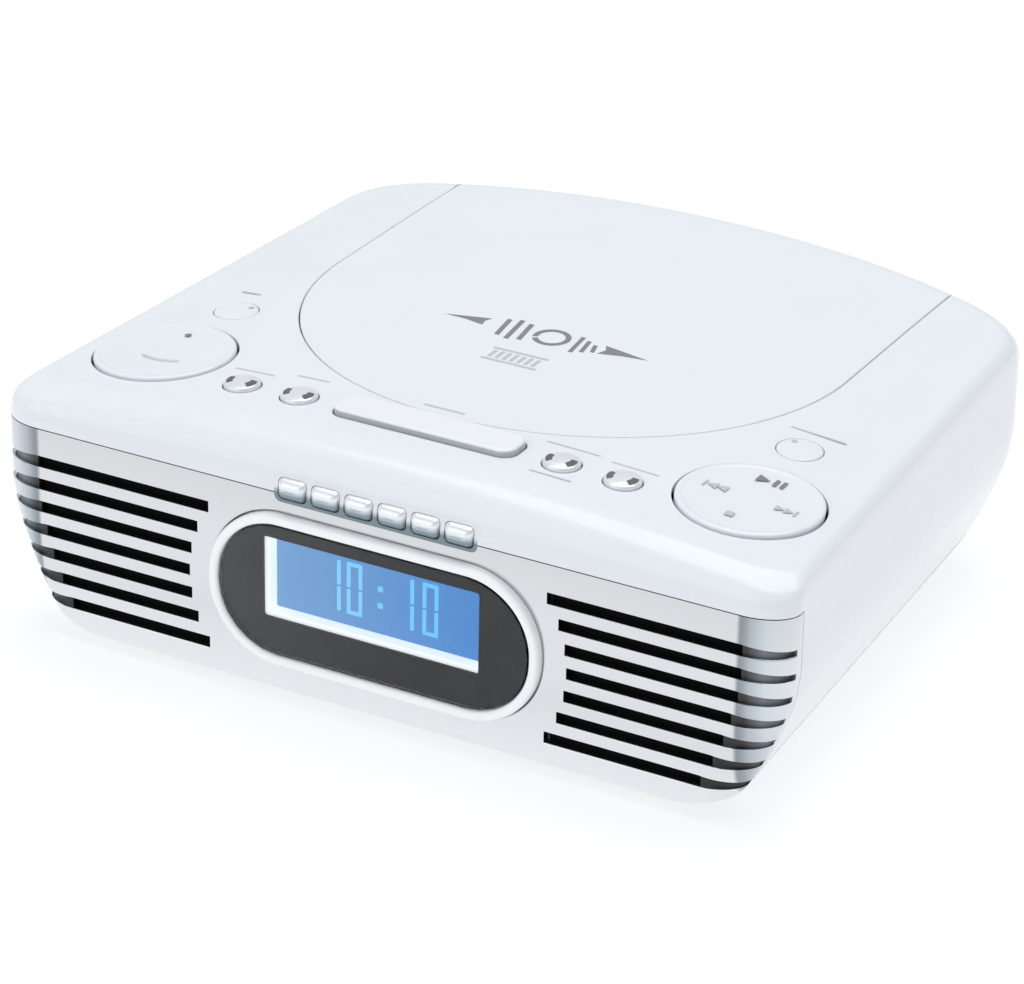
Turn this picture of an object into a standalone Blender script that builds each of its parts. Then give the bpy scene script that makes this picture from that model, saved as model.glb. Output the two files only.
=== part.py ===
"""Clock radio with a top-loading disc player, modelled in metres, +Z up.

The origin is at the bottom centre of the bounding box: the body stands on its four feet, the display
faces -Y and the disc lid is hinged at the back, +Y.
"""
import math

import bmesh
import bpy
from mathutils import Matrix, Vector

MM = 0.001

# ---------------------------------------------------------------- driving dimensions, millimetres
HALF_WIDTH = 117.0        # widest, just behind the front corners
BODY_DEPTH = 199.0        # grille face to the middle of the back
BEZEL_PROUD = 2.5         # how far the display ring stands out of the grille
FRONT = -(BODY_DEPTH - BEZEL_PROUD) / 2
BACK = FRONT + BODY_DEPTH
FOOT_HEIGHT = 2.5
CREASE = 61.4             # where the chromed grille meets the white top
TOP = 75.8                # highest point of the crowned top
CROWN = 4.0               # drop of the top at 100 mm from the middle
SEAM = 14.0               # joint between the top and bottom housings
WALL = 2.2
GRILLE_DEPTH = 10.0       # how far the grille wraps back along the sides
GAP = 0.4                 # clearance round a part that moves
PAD_GAP = 0.7             # clearance round the pads, which tilt
SEAT = 0.3                # clearance between parts that touch

FLAT_HALF = 104.5         # flat width of the front, before the corners turn back
CORNER_DEPTH = 8.5
SIDE_END = 164.0          # depth at which the side turns into the back corner
SIDE_TAPER = 0.064        # the sides close in towards the back
BACK_CORNER_X = 86.0
BACK_BOW = 12.3           # how far the back falls away at BACK_CORNER_X
BOW_POWER = 2.3

LID_RADIUS = 78.6
LID_CENTRE_Y = FRONT + 114.6
LID_WALL = 2.4
HINGE_Y = BACK - 8.4
HINGE_Z = 67.0
LIP_RADIUS = 11.5         # the lid's back lip turns inside this radius
WELL_RADIUS = 61.0
WELL_WALL = 1.1
WELL_FLOOR = 63.7         # top of the plate under the disc
LEDGE_TOP = 70.0
KNUCKLES = (-26.0, 26.0)  # the two hinge knuckles of the lid
PEG_RADIUS = 3.1

DISPLAY_Z = 33.5
WINDOW_HALF = (46.5, 19.1)
WINDOW_CORNER = 18.5
BEZEL_WIDTH = 2.9
LCD_Z = 37.25
LCD_HALF = (31.4, 10.95)

SLOT_COUNT = 7
SLOT_PITCH = 6.67
SLOT_TOP = 51.6
SLOT_HEIGHT = 3.1
SLOT_INNER = 56.4         # inner end of the middle slot
SLOT_FIELD = 36.3         # radius of the curve that the inner ends follow

PAD_X = 87.9
PAD_Y = FRONT + 37.9
PAD_RADIUS = 19.4
PAD_TILT = math.atan(2 * CROWN * PAD_X / 100 ** 2)
BUTTON_Y = FRONT + 27.5
BUTTON_XS = (-56.9, -39.25, 39.25, 56.9)
BUTTON_RADIUS = 5.0
CORNER_BUTTON = (86.0, FRONT + 71.0)
CORNER_BUTTON_RADIUS = 6.2
SNOOZE_Y = (FRONT + 22.0, FRONT + 33.6)
SNOOZE_HALF = 27.0
SNOOZE_PROUD = 1.9
KEY_COUNT = 6
KEY_PITCH = 9.9
KEY_Z = 62.8
KEY_SLOT_HALF = KEY_PITCH * KEY_COUNT / 2 + 0.4

STEM_RADIUS = 2.2
BOARD_Z = 62.0            # underside of the key board
SPEAKER_X = 79.5
SPEAKER_Z = 33.0
SPEAKER_RADIUS = 24.0

INLET_X = -62.0
INLET_RADIUS = 5.0
LINE_X = -44.0
LINE_RADIUS = 4.0
JACK_Z = 26.0

SCREWS = ((-84.0, -8.0), (84.0, -8.0), (-83.0, 55.0), (83.0, 55.0))
FEET = ((-68.0, -72.0), (68.0, -72.0), (-62.0, 66.0), (62.0, 66.0))
BATTERY_HALF = (24.6, 13.4)
BATTERY_Y = 20.0
BATTERY_HEIGHT = 17.6
BAY_WALL = 1.8

SLED_REST_X = 28.0
SLED_SLOT_X = (10.0, 60.6)
SLED_SLOT_HALF = 10.0
ROD_OFFSET = 16.0
ROD_Z = 57.5
RACK_MODULE = 0.6
RACK_GEAR_TEETH = 18
MOTOR_MODULE = 0.75
BIG_GEAR_TEETH = 24
PINION_TEETH = 10
TOOTH_ROOT = (0.70, -1.15)  # half width and height of a tooth's foot, in modules
TOOTH_TIP = (0.375, 0.80)
RACK_RADIUS = RACK_MODULE * RACK_GEAR_TEETH / 2
BIG_RADIUS = MOTOR_MODULE * BIG_GEAR_TEETH / 2
PINION_RADIUS = MOTOR_MODULE * PINION_TEETH / 2
RACK_PITCH_Y = LID_CENTRE_Y - ROD_OFFSET - 5.2
RACK_LEVEL = (56.6, 58.6)
BIG_LEVEL = (53.0, 54.6)
GEAR_X = 30.0
GEAR_Y = RACK_PITCH_Y - RACK_RADIUS

# ---------------------------------------------------------------- scene and collections
for old in list(bpy.data.objects):
    bpy.data.objects.remove(old)

PARTS = bpy.data.collections.new("clock_radio")
CUTTERS = bpy.data.collections.new("cutters")
for group in (PARTS, CUTTERS):
    bpy.context.scene.collection.children.link(group)

MATERIALS = {
    "white_gloss": ((0.86, 0.88, 0.91), 0.18, 0.0),
    "white_satin": ((0.84, 0.86, 0.88), 0.40, 0.0),
    "chrome": ((0.80, 0.83, 0.85), 0.12, 1.0),
    "steel": ((0.62, 0.63, 0.65), 0.30, 1.0),
    "smoked": ((0.06, 0.06, 0.065), 0.10, 0.0),
    "clear": ((0.90, 0.92, 0.95), 0.05, 0.0),
    "lcd_blue": ((0.20, 0.45, 0.85), 0.25, 0.0),
    "black_cloth": ((0.015, 0.015, 0.017), 0.90, 0.0),
    "black_plastic": ((0.03, 0.03, 0.035), 0.45, 0.0),
    "grey_plastic": ((0.55, 0.57, 0.60), 0.45, 0.0),
    "board_green": ((0.05, 0.20, 0.10), 0.50, 0.0),
    "rubber": ((0.05, 0.05, 0.05), 0.85, 0.0),
    "paper_cone": ((0.08, 0.08, 0.09), 0.80, 0.0),
}


def material(name):
    """Principled material from the table above."""
    found = bpy.data.materials.get(name)
    if found:
        return found
    colour, roughness, metallic = MATERIALS[name]
    made = bpy.data.materials.new(name)
    made.use_nodes = True
    shader = made.node_tree.nodes["Principled BSDF"]
    shader.inputs["Base Color"].default_value = (*colour, 1.0)
    shader.inputs["Roughness"].default_value = roughness
    shader.inputs["Metallic"].default_value = metallic
    return made


# ---------------------------------------------------------------- building blocks
def make_object(name, mesh):
    """Wrap a mesh whose vertices are in millimetres into an object in metres."""
    mesh.transform(Matrix.Scale(MM, 4))
    return bpy.data.objects.new(name, mesh)


def from_bmesh(name, bm):
    mesh = bpy.data.meshes.new(name)
    bm.to_mesh(mesh)
    bm.free()
    return make_object(name, mesh)


def box(name, low, high):
    """Axis-aligned box between two corners."""
    bm = bmesh.new()
    bmesh.ops.create_cube(bm, size=1.0)
    size = [b - a for a, b in zip(low, high)]
    centre = [(a + b) / 2 for a, b in zip(low, high)]
    bm.transform(Matrix.Translation(centre) @ Matrix.Diagonal((*size, 1.0)))
    return from_bmesh(name, bm)


TURNS = {
    "X": Matrix.Rotation(math.pi / 2, 4, "Y"),
    "Y": Matrix.Rotation(-math.pi / 2, 4, "X"),
    "-Y": Matrix.Rotation(math.pi / 2, 4, "X"),
    "Z": Matrix.Identity(4),
}


def cylinder(name, centre, radius, length, axis="Z", segments=24, top_radius=None):
    """Cylinder or cone about a row axis, centred on a point."""
    bm = bmesh.new()
    far = radius if top_radius is None else top_radius
    bmesh.ops.create_cone(
        bm, cap_ends=True, segments=segments, radius1=radius, radius2=far, depth=length
    )
    bm.transform(Matrix.Translation(centre) @ TURNS[axis])
    return from_bmesh(name, bm)


def turned(name, profile, centre=(0, 0, 0), axis="Z", segments=32):
    """Closed solid of revolution from (radius, height) points, top to bottom down the outer side."""
    mesh = bpy.data.meshes.new(name)
    points = [(radius * MM, 0, height * MM) for radius, height in profile]
    mesh.from_pydata(points, [(i, i + 1) for i in range(len(points) - 1)], [])
    shape = bpy.data.objects.new(name, mesh)
    bpy.context.scene.collection.objects.link(shape)
    screw = shape.modifiers.new("turn", "SCREW")
    screw.steps = segments
    screw.render_steps = segments
    screw.use_merge_vertices = True
    screw.merge_threshold = 0.00001
    solid = evaluated_mesh(shape)
    bpy.data.objects.remove(shape)
    solid.transform(Matrix.Translation([c * MM for c in centre]) @ TURNS[axis])
    return bpy.data.objects.new(name, solid)


def evaluated_mesh(shape):
    """The object's evaluated mesh, with loose ends welded."""
    bpy.context.view_layer.update()
    graph = bpy.context.evaluated_depsgraph_get()
    mesh = bpy.data.meshes.new_from_object(shape.evaluated_get(graph))
    bm = bmesh.new()
    bm.from_mesh(mesh)
    bmesh.ops.remove_doubles(bm, verts=bm.verts, dist=0.00001)
    bmesh.ops.recalc_face_normals(bm, faces=bm.faces)
    if bm.calc_volume(signed=True) < 0:
        bmesh.ops.reverse_faces(bm, faces=bm.faces)
    bm.to_mesh(mesh)
    bm.free()
    return mesh


def slab(name, outline, low, high, axis="Z"):
    """Flat outline, (x, y) or with axis Y (x, z), given thickness between two levels."""
    curve = bpy.data.curves.new(name, "CURVE")
    curve.dimensions = "2D"
    curve.fill_mode = "BOTH"
    curve.extrude = (high - low) / 2 * MM
    spline = curve.splines.new("POLY")
    spline.points.add(len(outline) - 1)
    for point, (u, v) in zip(spline.points, outline):
        point.co = (u * MM, v * MM, 0, 1)
    spline.use_cyclic_u = True
    shape = bpy.data.objects.new(name, curve)
    bpy.context.scene.collection.objects.link(shape)
    solid = evaluated_mesh(shape)
    bpy.data.objects.remove(shape)
    flatten_caps(solid)
    middle = (low + high) / 2 * MM
    if axis == "Y":
        place = Matrix.Translation((0, middle, 0)) @ Matrix.Rotation(math.pi / 2, 4, "X")
    else:
        place = Matrix.Translation((0, 0, middle))
    solid.transform(place)
    return bpy.data.objects.new(name, solid)


def flatten_caps(mesh):
    """Merge the triangles of flat faces into one face each."""
    bm = bmesh.new()
    bm.from_mesh(mesh)
    bmesh.ops.dissolve_limit(bm, angle_limit=0.001, verts=bm.verts, edges=bm.edges)
    bm.to_mesh(mesh)
    bm.free()


def rounded_rect(half_u, half_v, radius, centre=(0, 0), steps=6):
    """Outline of a rectangle with round corners; radius equal to half_v makes a stadium."""
    points = []
    for quarter, (su, sv) in enumerate(((1, 1), (-1, 1), (-1, -1), (1, -1))):
        cu = centre[0] + su * (half_u - radius)
        cv = centre[1] + sv * (half_v - radius)
        for i in range(steps + 1):
            angle = math.pi / 2 * (quarter + i / steps)
            points.append((cu + radius * math.cos(angle), cv + radius * math.sin(angle)))
    return points


def keep(shape, slot, origin=None, sharp=35.0):
    """Put a finished piece in the model, shaded smooth, with its origin on a given point."""
    if origin is not None:
        place = Vector(origin) * MM
        shape.data.transform(Matrix.Translation(-place))
        shape.location = place
    shape.data.materials.clear()
    shape.data.materials.append(material(slot))
    shape.data.shade_smooth()
    shape.data.set_sharp_from_angle(angle=math.radians(sharp))
    PARTS.objects.link(shape)
    return shape


def combine(shape, tool, operation, solver="EXACT"):
    """Boolean with a tool that is not part of the model."""
    CUTTERS.objects.link(tool)
    tool.hide_render = True
    tool.display_type = "WIRE"
    step = shape.modifiers.new(tool.name, "BOOLEAN")
    step.operation = operation
    step.solver = solver
    step.object = tool
    return shape


def cut(shape, *tools):
    for tool in tools:
        combine(shape, tool, "DIFFERENCE")
    return shape


def join(shape, *tools):
    for tool in tools:
        combine(shape, tool, "UNION")
    return shape


def trim(shape, tool):
    return combine(shape, tool, "INTERSECT")


def soften(shape, width, segments=2):
    """Round the edges of a plain block."""
    bevel = shape.modifiers.new("soft_edges", "BEVEL")
    bevel.width = width * MM
    bevel.segments = segments
    bevel.limit_method = "ANGLE"
    bevel.angle_limit = math.radians(40)
    return shape


# ---------------------------------------------------------------- the body's outer form
def top_height(x):
    """Height of the crowned top."""
    return TOP - CROWN * (x / 100) ** 2


def half_outline():
    """Plan of the right half, from the middle of the front to the middle of the back."""
    points = [(0.0, 0.0), (FLAT_HALF / 2, 0.0)]
    for i in range(5):
        angle = math.pi / 2 * i / 4
        points.append((
            FLAT_HALF + (HALF_WIDTH - FLAT_HALF) * math.sin(angle),
            CORNER_DEPTH * (1 - math.cos(angle)),
        ))
    for i in range(1, 4):
        depth = CORNER_DEPTH + (SIDE_END - CORNER_DEPTH) * i / 3
        points.append((HALF_WIDTH - SIDE_TAPER * (depth - CORNER_DEPTH), depth))
    start = Vector(points[-1])
    end = Vector((BACK_CORNER_X, BODY_DEPTH - BACK_BOW))
    slope = BACK_BOW * BOW_POWER / BACK_CORNER_X
    reach = start.x - SIDE_TAPER * 18 - end.x
    handle = Vector((end.x + reach, end.y - slope * reach))
    for i in range(1, 6):
        t = i / 5
        points.append(tuple(start * (1 - t) ** 2 + handle * 2 * t * (1 - t) + end * t * t))
    for i in range(1, 6):
        x = BACK_CORNER_X * (1 - i / 5)
        points.append((x, BODY_DEPTH - BACK_BOW * (x / BACK_CORNER_X) ** BOW_POWER))
    return points


# height, inset of the sides, inset of the front, inset of the back, share of the crown
LEVELS = (
    (2.5, 26.0, 2.5, 16.0, 0.0),
    (3.4, 20.5, 0.8, 12.5, 0.0),
    (6.0, 15.0, 0.0, 9.0, 0.0),
    (14.0, 9.6, 0.0, 5.6, 0.0),
    (25.0, 4.7, 0.0, 2.6, 0.0),
    (37.0, 0.9, 0.0, 0.6, 0.0),
    (46.0, 0.0, 0.0, 0.0, 0.0),
    (CREASE, 0.0, 0.0, 0.0, 0.0),
    (66.0, 0.0, 0.7, 0.3, 0.2),
    (70.0, 0.5, 2.3, 1.0, 0.5),
    (73.0, 1.8, 5.2, 2.6, 0.75),
    (75.0, 3.9, 9.2, 4.8, 0.9),
    (TOP, 7.5, 14.0, 8.0, 1.0),
)
CAP_RINGS = (0.7, 0.4, 0.15)


def hull(name, inset=0.0):
    """Closed solid of the body's outside, or of its inside when given a wall thickness."""
    half = half_outline()
    plan = half + [(-x, y) for x, y in reversed(half[1:-1])]
    rings = []
    for height, side, front, back, crown in LEVELS:
        ring = []
        for x, y in plan:
            px = x * (1 - side / HALF_WIDTH)
            py = front + y * (BODY_DEPTH - front - back) / BODY_DEPTH
            pz = height - crown * CROWN * (x / 100) ** 2
            ring.append((px, FRONT + py, pz))
        rings.append(ring)
    middle = FRONT + BODY_DEPTH / 2
    for share in CAP_RINGS:
        ring = []
        for x, y, _ in rings[len(LEVELS) - 1]:
            px = x * share
            ring.append((px, middle + (y - middle) * share, top_height(px)))
        rings.append(ring)
    bm = bmesh.new()
    loops = [[bm.verts.new(point) for point in ring] for ring in rings]
    count = len(plan)
    for lower, upper in zip(loops, loops[1:]):
        for i in range(count):
            j = (i + 1) % count
            bm.faces.new((lower[i], lower[j], upper[j], upper[i]))
    bm.faces.new(loops[-1])
    bm.faces.new(list(reversed(loops[0])))
    bmesh.ops.recalc_face_normals(bm, faces=bm.faces)
    if inset:
        centre = Vector((0, middle, (TOP + FOOT_HEIGHT) / 2))
        size = Vector((HALF_WIDTH, BODY_DEPTH / 2, (TOP - FOOT_HEIGHT) / 2))
        shrink = [(s - inset) / s for s in size]
        bm.transform(Matrix.Translation(-centre))
        bm.transform(Matrix.Diagonal((*shrink, 1.0)))
        bm.transform(Matrix.Translation(centre))
    return from_bmesh(name, bm)


def shell(name, wall):
    """The body's skin, still closed all round."""
    return cut(hull(name), hull(name + "_inside", wall))


def lid_outline(grow):
    """U-shaped plan of the lid: a half circle to the front and straight sides to the back."""
    radius = LID_RADIUS + grow
    points = [(radius, BACK + 12.0), (-radius, BACK + 12.0)]
    steps = 28
    for i in range(steps + 1):
        angle = math.pi * (1 + i / steps)
        points.append((radius * math.cos(angle), LID_CENTRE_Y + radius * math.sin(angle)))
    return points


def stadium(grow, centre_z=DISPLAY_Z):
    """Outline of the display window, grown by a margin."""
    return rounded_rect(
        WINDOW_HALF[0] + grow, WINDOW_HALF[1] + grow, WINDOW_CORNER + grow, (0, centre_z), 6
    )


# ---------------------------------------------------------------- housings
def top_key_cutters():
    """Openings in the top for the pads, buttons and snooze bar."""
    tools = []
    for side in (-1, 1):
        tools.append(cylinder("pad_hole", (side * PAD_X, PAD_Y, 70), PAD_RADIUS + PAD_GAP, 30, segments=32))
        place = (side * CORNER_BUTTON[0], CORNER_BUTTON[1], 70)
        tools.append(cylinder("corner_hole", place, CORNER_BUTTON_RADIUS + GAP, 30, segments=16))
    for x in BUTTON_XS:
        tools.append(cylinder("button_hole", (x, BUTTON_Y, 70), BUTTON_RADIUS + GAP, 30, segments=16))
    half_y = (SNOOZE_Y[1] - SNOOZE_Y[0]) / 2
    middle_y = (SNOOZE_Y[1] + SNOOZE_Y[0]) / 2
    hole = rounded_rect(SNOOZE_HALF + GAP, half_y + GAP, 4.0 + GAP, (0, middle_y), 4)
    tools.append(slab("snooze_hole", hole, 60, 90))
    return tools


def key_slot(name):
    """Opening for the row of front keys, across the crease."""
    outline = rounded_rect(KEY_SLOT_HALF, 3.9, 2.0, (0, KEY_Z), 3)
    return slab(name, outline, FRONT - 5, FRONT + 4.5, "Y")


def hinge_ears():
    """Two plates beside each lid knuckle, carried by the front wall of the hinge trough."""
    ears = []
    for centre in KNUCKLES:
        for side in (-1, 1):
            x = centre + side * 4.0
            low = (x - 1.0, HINGE_Y - LIP_RADIUS - 1.4, HINGE_Z - PEG_RADIUS)
            high = (x + 1.0, HINGE_Y, HINGE_Z + PEG_RADIUS)
            ears.append(box("ear", low, high))
            ears.append(cylinder("ear_eye", (x, HINGE_Y, HINGE_Z), PEG_RADIUS, 2.0, "X", 16))
    return ears


def make_top_housing():
    """White upper casing with the hinge trough, screw pillars and all the openings."""
    housing = shell("top_housing", WALL)
    trough = cylinder("trough", (0, HINGE_Y, HINGE_Z), LIP_RADIUS + 2.1, 2 * LID_RADIUS + 4.6, "X", 32)
    above = box("trough_above", (-120, FRONT, LEDGE_TOP + 0.3), (120, BACK + 20, 120))
    cut(trough, above)
    trim(trough, hull("trough_limit", 0.9))
    join(housing, trough)
    for x, y in SCREWS:
        join(housing, cylinder("pillar", (x, y, (8.4 + 72.0) / 2), 3.2, 72.0 - 8.4, segments=12))
    cut(
        housing,
        box("front_zone", (-150, FRONT - 20, -5), (150, FRONT + GRILLE_DEPTH + SEAT, CREASE)),
        box("base_zone", (-150, -150, -5), (150, 150, SEAM + SEAT / 2)),
        slab("lid_opening", lid_outline(GAP), LEDGE_TOP + 0.3, 100),
        cylinder("trough_hollow", (0, HINGE_Y, HINGE_Z), LIP_RADIUS + 0.5, 2 * (LID_RADIUS + 0.5), "X", 32),
        key_slot("housing_key_slot"),
        *top_key_cutters(),
    )
    for x, y in SCREWS:
        cut(housing, cylinder("pillar_bore", (x, y, 14.0), 1.6, 16.0, segments=12))
    join(housing, *hinge_ears())
    for centre in KNUCKLES:
        cut(housing, cylinder("pin_bore", (centre, HINGE_Y, HINGE_Z), 1.8, 14.0, "X", 16))
    wall_y = BACK - 4
    cut(housing, cylinder("inlet_hole", (INLET_X, wall_y, JACK_Z), INLET_RADIUS + SEAT, 40, "Y", 24))
    cut(housing, cylinder("line_hole", (LINE_X, wall_y, JACK_Z), LINE_RADIUS + SEAT, 40, "Y", 24))
    keep(housing, "white_gloss")


def make_bottom_housing():
    """White base tray with the battery bay, screw seats and cooling slots."""
    tray = trim(
        shell("bottom_housing", WALL),
        box("tray_zone", (-150, FRONT + GRILLE_DEPTH + SEAT, -5), (150, 150, SEAM - SEAT / 2)),
    )
    floor = FOOT_HEIGHT
    bay_x = BATTERY_HALF[0] + 1.2
    bay_y = BATTERY_HALF[1] + 1.2
    bay_top = floor + WALL + BATTERY_HEIGHT + 1.4
    outer = box(
        "bay", (-bay_x - BAY_WALL, BATTERY_Y - bay_y - BAY_WALL, floor + 0.6),
        (bay_x + BAY_WALL, BATTERY_Y + bay_y + BAY_WALL, bay_top + BAY_WALL),
    )
    join(tray, outer)
    for x, y in SCREWS:
        join(tray, cylinder("seat", (x, y, 5.4), 5.2, 5.2, segments=16))
    cut(tray, box("bay_hollow", (-bay_x, BATTERY_Y - bay_y, -5), (bay_x, BATTERY_Y + bay_y, bay_top)))
    for x, y in SCREWS:
        cut(tray, cylinder("head_bore", (x, y, 2.5), 3.5, 7.0, segments=16))
        cut(tray, cylinder("shaft_bore", (x, y, 6.0), 1.8, 12.0, segments=12))
    for i in range(6):
        for side in (-1, 1):
            x = side * (38.0 + 4.5 * i)
            cut(tray, box("vent", (x - 1.0, -36, -5), (x + 1.0, -14, 10)))
    keep(tray, "white_satin")


def slot_inner(z):
    """Inner end of a grille slot, clear of the round end of the display."""
    away = z - (SLOT_TOP - SLOT_PITCH * (SLOT_COUNT - 1) / 2)
    return SLOT_INNER - SLOT_FIELD + math.sqrt(SLOT_FIELD ** 2 - away ** 2)


def make_front_grille():
    """Chromed fascia with seven slots a side that run round the corners."""
    grille = trim(
        shell("front_grille", WALL),
        box("grille_zone", (-150, FRONT - 20, -5), (150, FRONT + GRILLE_DEPTH, CREASE - SEAT)),
    )
    for i in range(SLOT_COUNT):
        z = SLOT_TOP - SLOT_PITCH * i
        inner = slot_inner(z)
        for side in (-1, 1):
            ends = sorted((side * inner, side * 130))
            low = (ends[0], FRONT - 5, z - SLOT_HEIGHT / 2)
            high = (ends[1], FRONT + GRILLE_DEPTH - 2.4, z + SLOT_HEIGHT / 2)
            cut(grille, box("slot", low, high))
    cut(grille, slab("display_hole", stadium(BEZEL_WIDTH + SEAT), FRONT - 10, FRONT + 20, "Y"))
    cut(grille, key_slot("grille_key_slot"))
    keep(grille, "chrome")


def make_base_pieces():
    """Feet, screws, battery and battery door."""
    for i, (x, y) in enumerate(FEET, 1):
        foot = cylinder(f"foot_{i}", (x, y, (FOOT_HEIGHT - SEAT) / 2), 6.5, FOOT_HEIGHT - SEAT, segments=24)
        keep(foot, "rubber")
    for i, (x, y) in enumerate(SCREWS, 1):
        profile = [(0, 17.0), (1.3, 17.0), (1.3, 5.7), (3.0, 5.7), (3.0, 3.6), (0, 3.6)]
        keep(turned(f"housing_screw_{i}", profile, (x, y, 0), segments=12), "steel")
    floor = FOOT_HEIGHT
    low = (-BATTERY_HALF[0] + 0.4, BATTERY_Y - BATTERY_HALF[1] + 0.4, floor + WALL + 0.3)
    high = (BATTERY_HALF[0] - 0.4, BATTERY_Y + BATTERY_HALF[1] - 0.4, floor + WALL + BATTERY_HEIGHT)
    keep(soften(box("backup_battery", low, high), 1.2), "black_plastic")
    door_x = BATTERY_HALF[0] + 0.8
    door_y = BATTERY_HALF[1] + 0.8
    low = (-door_x, BATTERY_Y - door_y, floor)
    high = (door_x, BATTERY_Y + door_y, floor + 1.9)
    door = box("battery_door", low, high)
    for i in range(5):
        y = BATTERY_Y + 4.0 + 1.8 * i
        cut(door, box("grip", (-7, y - 0.4, floor - 1), (7, y + 0.4, floor + 0.5)))
    keep(door, "white_satin")


# ---------------------------------------------------------------- display
def make_display():
    """Ring, lens, dark mask, white reveal and LCD."""
    bezel = slab("display_bezel", stadium(BEZEL_WIDTH), FRONT - BEZEL_PROUD, FRONT + 4.4, "Y")
    soften(bezel, 1.1, 2)
    cut(bezel, slab("bezel_hole", stadium(0.0), FRONT - 10, FRONT + 20, "Y"))
    keep(bezel, "white_gloss")
    keep(slab("display_window", stadium(-GAP), FRONT - 1.9, FRONT - 0.7, "Y"), "clear")
    lcd = rounded_rect(*LCD_HALF, 0.6, (0, LCD_Z), 2)
    mask = slab("display_mask", stadium(-GAP), FRONT - 0.4, FRONT + 0.2, "Y")
    keep(cut(mask, slab("mask_hole", lcd, FRONT - 10, FRONT + 10, "Y")), "smoked")
    frame = slab("lcd_frame", rounded_rect(35.5, 12.9, 1.0, (0, LCD_Z), 2), FRONT + 0.5, FRONT + 3.6, "Y")
    keep(cut(frame, slab("frame_hole", lcd, FRONT - 10, FRONT + 10, "Y")), "white_satin")
    panel = box(
        "lcd_panel", (-34.0, FRONT + 3.9, LCD_Z - 12.4), (34.0, FRONT + 6.2, LCD_Z + 12.4)
    )
    keep(panel, "lcd_blue")


# ---------------------------------------------------------------- speakers
def make_speakers():
    """Black cloth behind the slots, then a basket with its magnet and a paper cone."""
    for side, word in ((-1, "left"), (1, "right")):
        cloth = shell_slice("speaker_cloth_" + word, WALL + SEAT, 0.8, side)
        keep(cloth, "black_cloth")
        y0 = FRONT + 12.0
        basket = [
            (0.0, -15.0), (10.5, -15.0), (10.5, -12.5), (19.8, -2.0), (19.8, 0.0), (SPEAKER_RADIUS, 0.0),
            (SPEAKER_RADIUS, -2.0), (20.5, -2.6), (13.0, -12.0), (13.0, -20.0), (0.0, -20.0),
        ]
        place = (side * SPEAKER_X, y0, SPEAKER_Z)
        keep(turned("speaker_basket_" + word, basket, place, "-Y", 20), "black_plastic")
        cone = [
            (0.0, -5.0), (5.0, -6.5), (7.0, -8.0), (17.0, -1.2), (19.2, -0.4), (19.0, -1.6),
            (8.0, -10.4), (0.0, -10.4),
        ]
        keep(turned("speaker_cone_" + word, cone, place, "-Y", 20), "paper_cone")


def shell_slice(name, inset, thickness, side):
    """Thin skin that follows the inside of the grille on one side of the display."""
    skin = cut(hull(name, inset), hull(name + "_inside", inset + thickness))
    ends = sorted((side * 51.0, side * 130.0))
    zone = box(name + "_zone", (ends[0], FRONT - 5, 8.0), (ends[1], FRONT + GRILLE_DEPTH - 0.6, 55.5))
    return trim(skin, zone)


# ---------------------------------------------------------------- lid and disc deck
def make_lid():
    """U-shaped lid: the skin of the body inside its outline, with a back lip and two hinge knuckles."""
    lid = shell("cd_lid", LID_WALL)
    zone = slab("lid_zone", lid_outline(0.0), LEDGE_TOP + 0.7, 100)
    join(zone, cylinder("lip_zone", (0, HINGE_Y, HINGE_Z), LIP_RADIUS, 2 * LID_RADIUS, "X", 32))
    trim(lid, zone)
    for x in KNUCKLES:
        arm = box("arm", (x - 2.5, HINGE_Y - 3.0, HINGE_Z), (x + 2.5, HINGE_Y + 3.0, 74.3))
        join(lid, arm, cylinder("eye", (x, HINGE_Y, HINGE_Z), PEG_RADIUS, 5.0, "X", 16))
    clamp_seat = [(14.8, 74.6), (16.4, 74.6), (16.4, 71.2), (14.8, 71.2), (14.8, 74.6)]
    join(lid, turned("clamp_seat", clamp_seat, (0, LID_CENTRE_Y, 0), segments=24))
    for x in KNUCKLES:
        cut(lid, cylinder("eye_bore", (x, HINGE_Y, HINGE_Z), 1.8, 14.0, "X", 16))
    keep(lid, "white_gloss", (0, HINGE_Y, HINGE_Z))
    for x, word in zip(KNUCKLES, ("left", "right")):
        pin = cylinder("hinge_pin_" + word, (x, HINGE_Y, HINGE_Z), 1.5, 10.4, "X", 16)
        keep(pin, "steel")
    clamp = [
        (0, 72.9), (9.0, 72.9), (9.0, 71.0), (14.0, 71.0), (14.0, 69.6), (12.0, 69.2), (9.0, 69.2),
        (8.4, 70.2), (0, 70.2),
    ]
    disc_clamp = turned("disc_clamp", clamp, (0, LID_CENTRE_Y, 0), segments=24)
    keep(disc_clamp, "black_plastic", (0, LID_CENTRE_Y, 71))


def well_outline():
    """Plan of the disc well's ledge: it fills the lid opening from below."""
    radius = LID_RADIUS + 1.0
    back = HINGE_Y - LIP_RADIUS - 2.5
    points = [(radius, back), (-radius, back)]
    steps = 28
    for i in range(steps + 1):
        angle = math.pi * (1 + i / steps)
        points.append((radius * math.cos(angle), LID_CENTRE_Y + radius * math.sin(angle)))
    return points


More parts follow.
